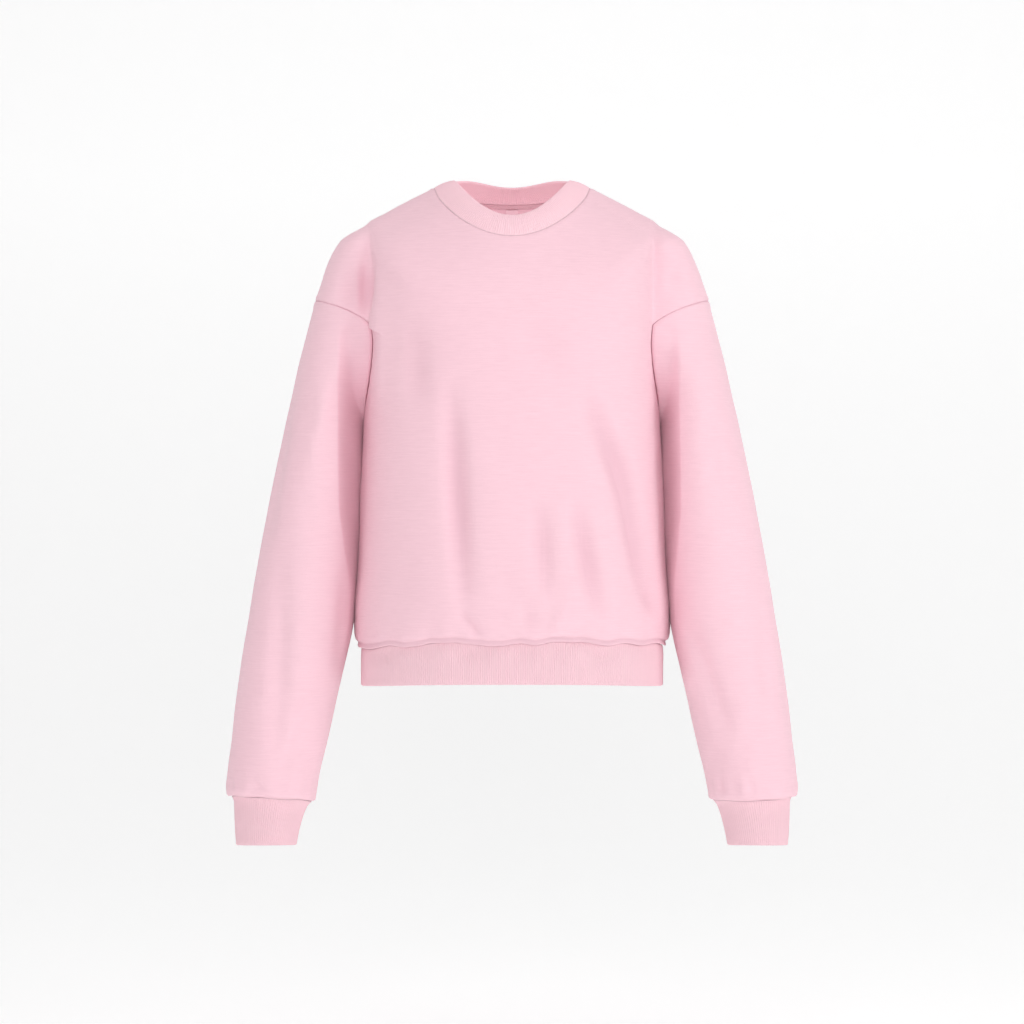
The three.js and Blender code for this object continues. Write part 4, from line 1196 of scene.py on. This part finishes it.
class SWEATSHIRT_OT_bands(bpy.types.Operator):
    """Build the ribbed neckband, cuffs and hem band"""
    bl_idname = "sweatshirt.bands"
    bl_label = "Rib bands"

    def execute(self, context):
        bands = context.scene.sweatshirt_bands

        def evenly(line):
            turns = even_turns(line, 720)
            spaced = np.r_[np.where(turns < 0, turns + 360, turns), 360]
            places = np.linspace(0, 1, len(spaced))

            def turn_at(share):
                turn = np.interp(share, places, spaced)
                return np.where(turn > 180, turn - 360, turn)
            return turn_at

        hem_turn = evenly(lambda turn: round_body(turn, HEM_RUN))
        hem = band_mesh(lambda a, s: hem_point(hem_turn(a), s), HEM_LENGTH, bands.hem_ribs)
        ribbed("hem_rib", hem, "hem_band")
        neck_turn = evenly(lambda turn: neckband_point(turn, np.full(turn.shape, 0.5)))
        neck = band_mesh(lambda a, s: neckband_point(neck_turn(a), s), NECK_LENGTH, bands.neck_ribs)
        ribbed("neck_rib", neck, "neckband", "neck rib")
        for side in ("left", "right"):
            flip = [-1.0 if side == "left" else 1.0, 1, 1]
            cuff = band_mesh(
                lambda a, s: cuff_point(360 * a, s, side) * flip, CUFF_LENGTH, bands.cuff_ribs)
            ribbed(f"cuff_{side}_rib", cuff, f"cuff_{side}")
        return {"FINISHED"}


def back_inside(column, row, lift):
    """A point off the back panel's inner face, at a place of its grid."""
    turn, run = panel_place(np.abs(column), row)
    normal = mirrored(body_normal(180 - turn, run), column)
    off = np.asarray(FLEECE_WALL + lift)[..., None]
    return mirrored(body_point(180 - turn, run), column) - normal * off, normal


class SWEATSHIRT_OT_neck_finish(bpy.types.Operator):
    """Build the tape over the back neck seam and the blank tab below it"""
    bl_idname = "sweatshirt.neck_finish"
    bl_label = "Neck tape and tab"

    def execute(self, context):
        for name, slot, half, rows, count in (
                ("neck_tape", "tape", 12, (0.04, 0.27), (97, 9)),
                ("neck_label", "label", 0.6, (0.30, 0.93), (13, 15))):
            columns, levels = np.linspace(-half, half, count[0]), np.linspace(*rows, count[1])
            column, row = np.meshgrid(columns, levels)
            edge = np.abs(row - np.mean(rows)) / (rows[1] - rows[0]) * 2
            lift = TAPE_LIFT + TAPE_CROWN * (1 - edge ** 6)
            if slot == "label":
                lift = lift + TAB_LIFT * smooth((row - 0.5) * 2)
            points, _ = back_inside(column, row, lift)
            u, v = arc_lengths(points)
            laid = np.stack([u, v], -1).reshape(-1, 2)
            faces = grid_faces(*column.shape)
            cloth = Cloth(points.reshape(-1, 3), faces, laid, np.full(laid.shape[0], FAR))
            cloth.facing(np.array([0, -1, 0]))
            piece = wall_object(f"{name}_cloth", cloth, TAPE_WALL)
            settle(piece, slot, name)
        return {"FINISHED"}


class SWEATSHIRT_OT_stitching(bpy.types.Operator):
    """Sew the topstitching round the neck and along the tape"""
    bl_idname = "sweatshirt.stitching"
    bl_label = "Stitching"

    def execute(self, context):
        turn = round_turns(720)
        points = round_body(turn, TOPSTITCH_RUN)
        normals = mirrored(body_normal(np.abs(turn), TOPSTITCH_RUN), turn)
        stitched("neck_topstitch", points - normals * TOPSTITCH_SINK, normals, True)
        for name, row in (("tape_upper_stitch", 0.08), ("tape_lower_stitch", 0.23)):
            points, normals = back_inside(
                np.linspace(-11.8, 11.8, 200), np.full(200, row), TAPE_STITCH_LIFT)
            stitched(name, points, -normals, False)
        return {"FINISHED"}


class SWEATSHIRT_OT_stage(bpy.types.Operator):
    """Set up the camera, floor, backdrop and soft light"""
    bl_idname = "sweatshirt.stage"
    bl_label = "Stage"

    def execute(self, context):
        stage = context.scene.sweatshirt_stage
        scene = context.scene
        camera = bpy.data.objects.new("Camera", bpy.data.cameras.new("Camera"))
        camera.data.lens, camera.data.sensor_width = 100, 36
        camera.location = (0, -3.1289, -0.3575)
        camera.rotation_euler = (np.pi / 2, 0, 0)
        context.collection.objects.link(camera)
        scene.camera = camera
        bend = np.radians(np.linspace(0, 90, 17))
        radius, front, back, wide, top = 1400, -6000, 3200, 9000, 7000
        curve = zip(back - radius + radius * np.sin(bend), radius - radius * np.cos(bend))
        profile = [(front, 0), *curve, (back, top)]
        level = stage.floor_level * 1000
        points = [(x, y, level + z) for y, z in profile for x in (-wide, wide)]
        faces = [(2 * i, 2 * i + 1, 2 * i + 3, 2 * i + 2) for i in range(len(profile) - 1)]
        sweep = new_object("Floor_and_Backdrop", points, faces)
        paper, tree = new_material("Pale Paper", (0.93, 0.93, 0.93))
        place = tree.value("ShaderNodeTexCoord", output=3)
        grain = noise(tree, place, 60.0)
        colour = blended(tree, grain, (0.915, 0.915, 0.915), (0.925, 0.925, 0.925))
        shader = tree.node("ShaderNodeBsdfPrincipled", Base_Color=colour, Roughness=0.9)
        shader.inputs["Emission Color"].default_value = (1, 1, 1, 1)
        shader.inputs["Emission Strength"].default_value = 0.26
        tree.node("ShaderNodeOutputMaterial", Surface=shader.outputs[0])
        sweep.data.materials.append(paper)
        world = bpy.data.worlds.new("Soft White")
        world.use_nodes = True
        background = world.node_tree.nodes["Background"]
        background.inputs["Color"].default_value = (1, 1, 1, 1)
        background.inputs["Strength"].default_value = stage.sky_light
        scene.world = world
        middle, back_neck = (0, 0, -0.3), (0, 0.068, -0.005)
        for name, place, target, size, watts in (
                ("Front", (0, -3.6, 0.3), middle, 1.6, stage.front_light),
                ("Side", (2.9, -1.6, 0.3), middle, 1.8, stage.side_light),
                ("Top", (0, -0.8, 2.6), middle, 2.0, stage.top_light),
                ("Fill", (-2.6, -2.2, 0.3), middle, 2.0, stage.fill_light),
                ("Neck", (0, -0.035, -0.13), back_neck, 0.12, stage.neck_light)):
            light = bpy.data.lights.new(name, "AREA")
            light.shape, light.size, light.energy = "DISK", size, watts
            holder = bpy.data.objects.new(name, light)
            holder.location = place
            holder.visible_camera = False
            aim = np.subtract(target, place)
            turn, tilt = np.arctan2(aim[0], aim[1]), np.arctan2(aim[2], np.hypot(aim[0], aim[1]))
            holder.rotation_euler = (np.pi / 2 + tilt, 0, -turn)
            context.collection.objects.link(holder)
        scene.view_settings.view_transform = "Standard"
        return {"FINISHED"}


class SWEATSHIRT_PT_panel(bpy.types.Panel):
    bl_label = "Sweatshirt"
    bl_idname = "SWEATSHIRT_PT_panel"
    bl_space_type = "VIEW_3D"
    bl_region_type = "UI"
    bl_category = "Sweatshirt"

    def draw(self, context):
        for group in (getattr(context.scene, name) for name in GROUPS):
            box = self.layout.box()
            for name in group.__annotations__:
                box.prop(group, name)
        for operator in OPERATORS:
            self.layout.operator(operator.bl_idname)


GROUPS = {
    "sweatshirt_cloth": SweatshirtClothSettings,
    "sweatshirt_bands": SweatshirtBandSettings,
    "sweatshirt_stitches": SweatshirtStitchSettings,
    "sweatshirt_stage": SweatshirtStageSettings,
}
OPERATORS = (SWEATSHIRT_OT_stage, SWEATSHIRT_OT_panels, SWEATSHIRT_OT_sleeves, SWEATSHIRT_OT_bands,
             SWEATSHIRT_OT_neck_finish, SWEATSHIRT_OT_stitching)


def register():
    for kind in (*GROUPS.values(), *OPERATORS, SWEATSHIRT_PT_panel):
        bpy.utils.register_class(kind)
    for name, kind in GROUPS.items():
        setattr(bpy.types.Scene, name, PointerProperty(type=kind))


def unregister():
    for name in GROUPS:
        delattr(bpy.types.Scene, name)
    for kind in reversed((*GROUPS.values(), *OPERATORS, SWEATSHIRT_PT_panel)):
        bpy.utils.unregister_class(kind)


def main():
    register()
    bpy.ops.sweatshirt.stage()
    bpy.ops.sweatshirt.panels()
    bpy.ops.sweatshirt.sleeves()
    bpy.ops.sweatshirt.bands()
    bpy.ops.sweatshirt.neck_finish()
    bpy.ops.sweatshirt.stitching()


if __name__ == "__main__":
    main()
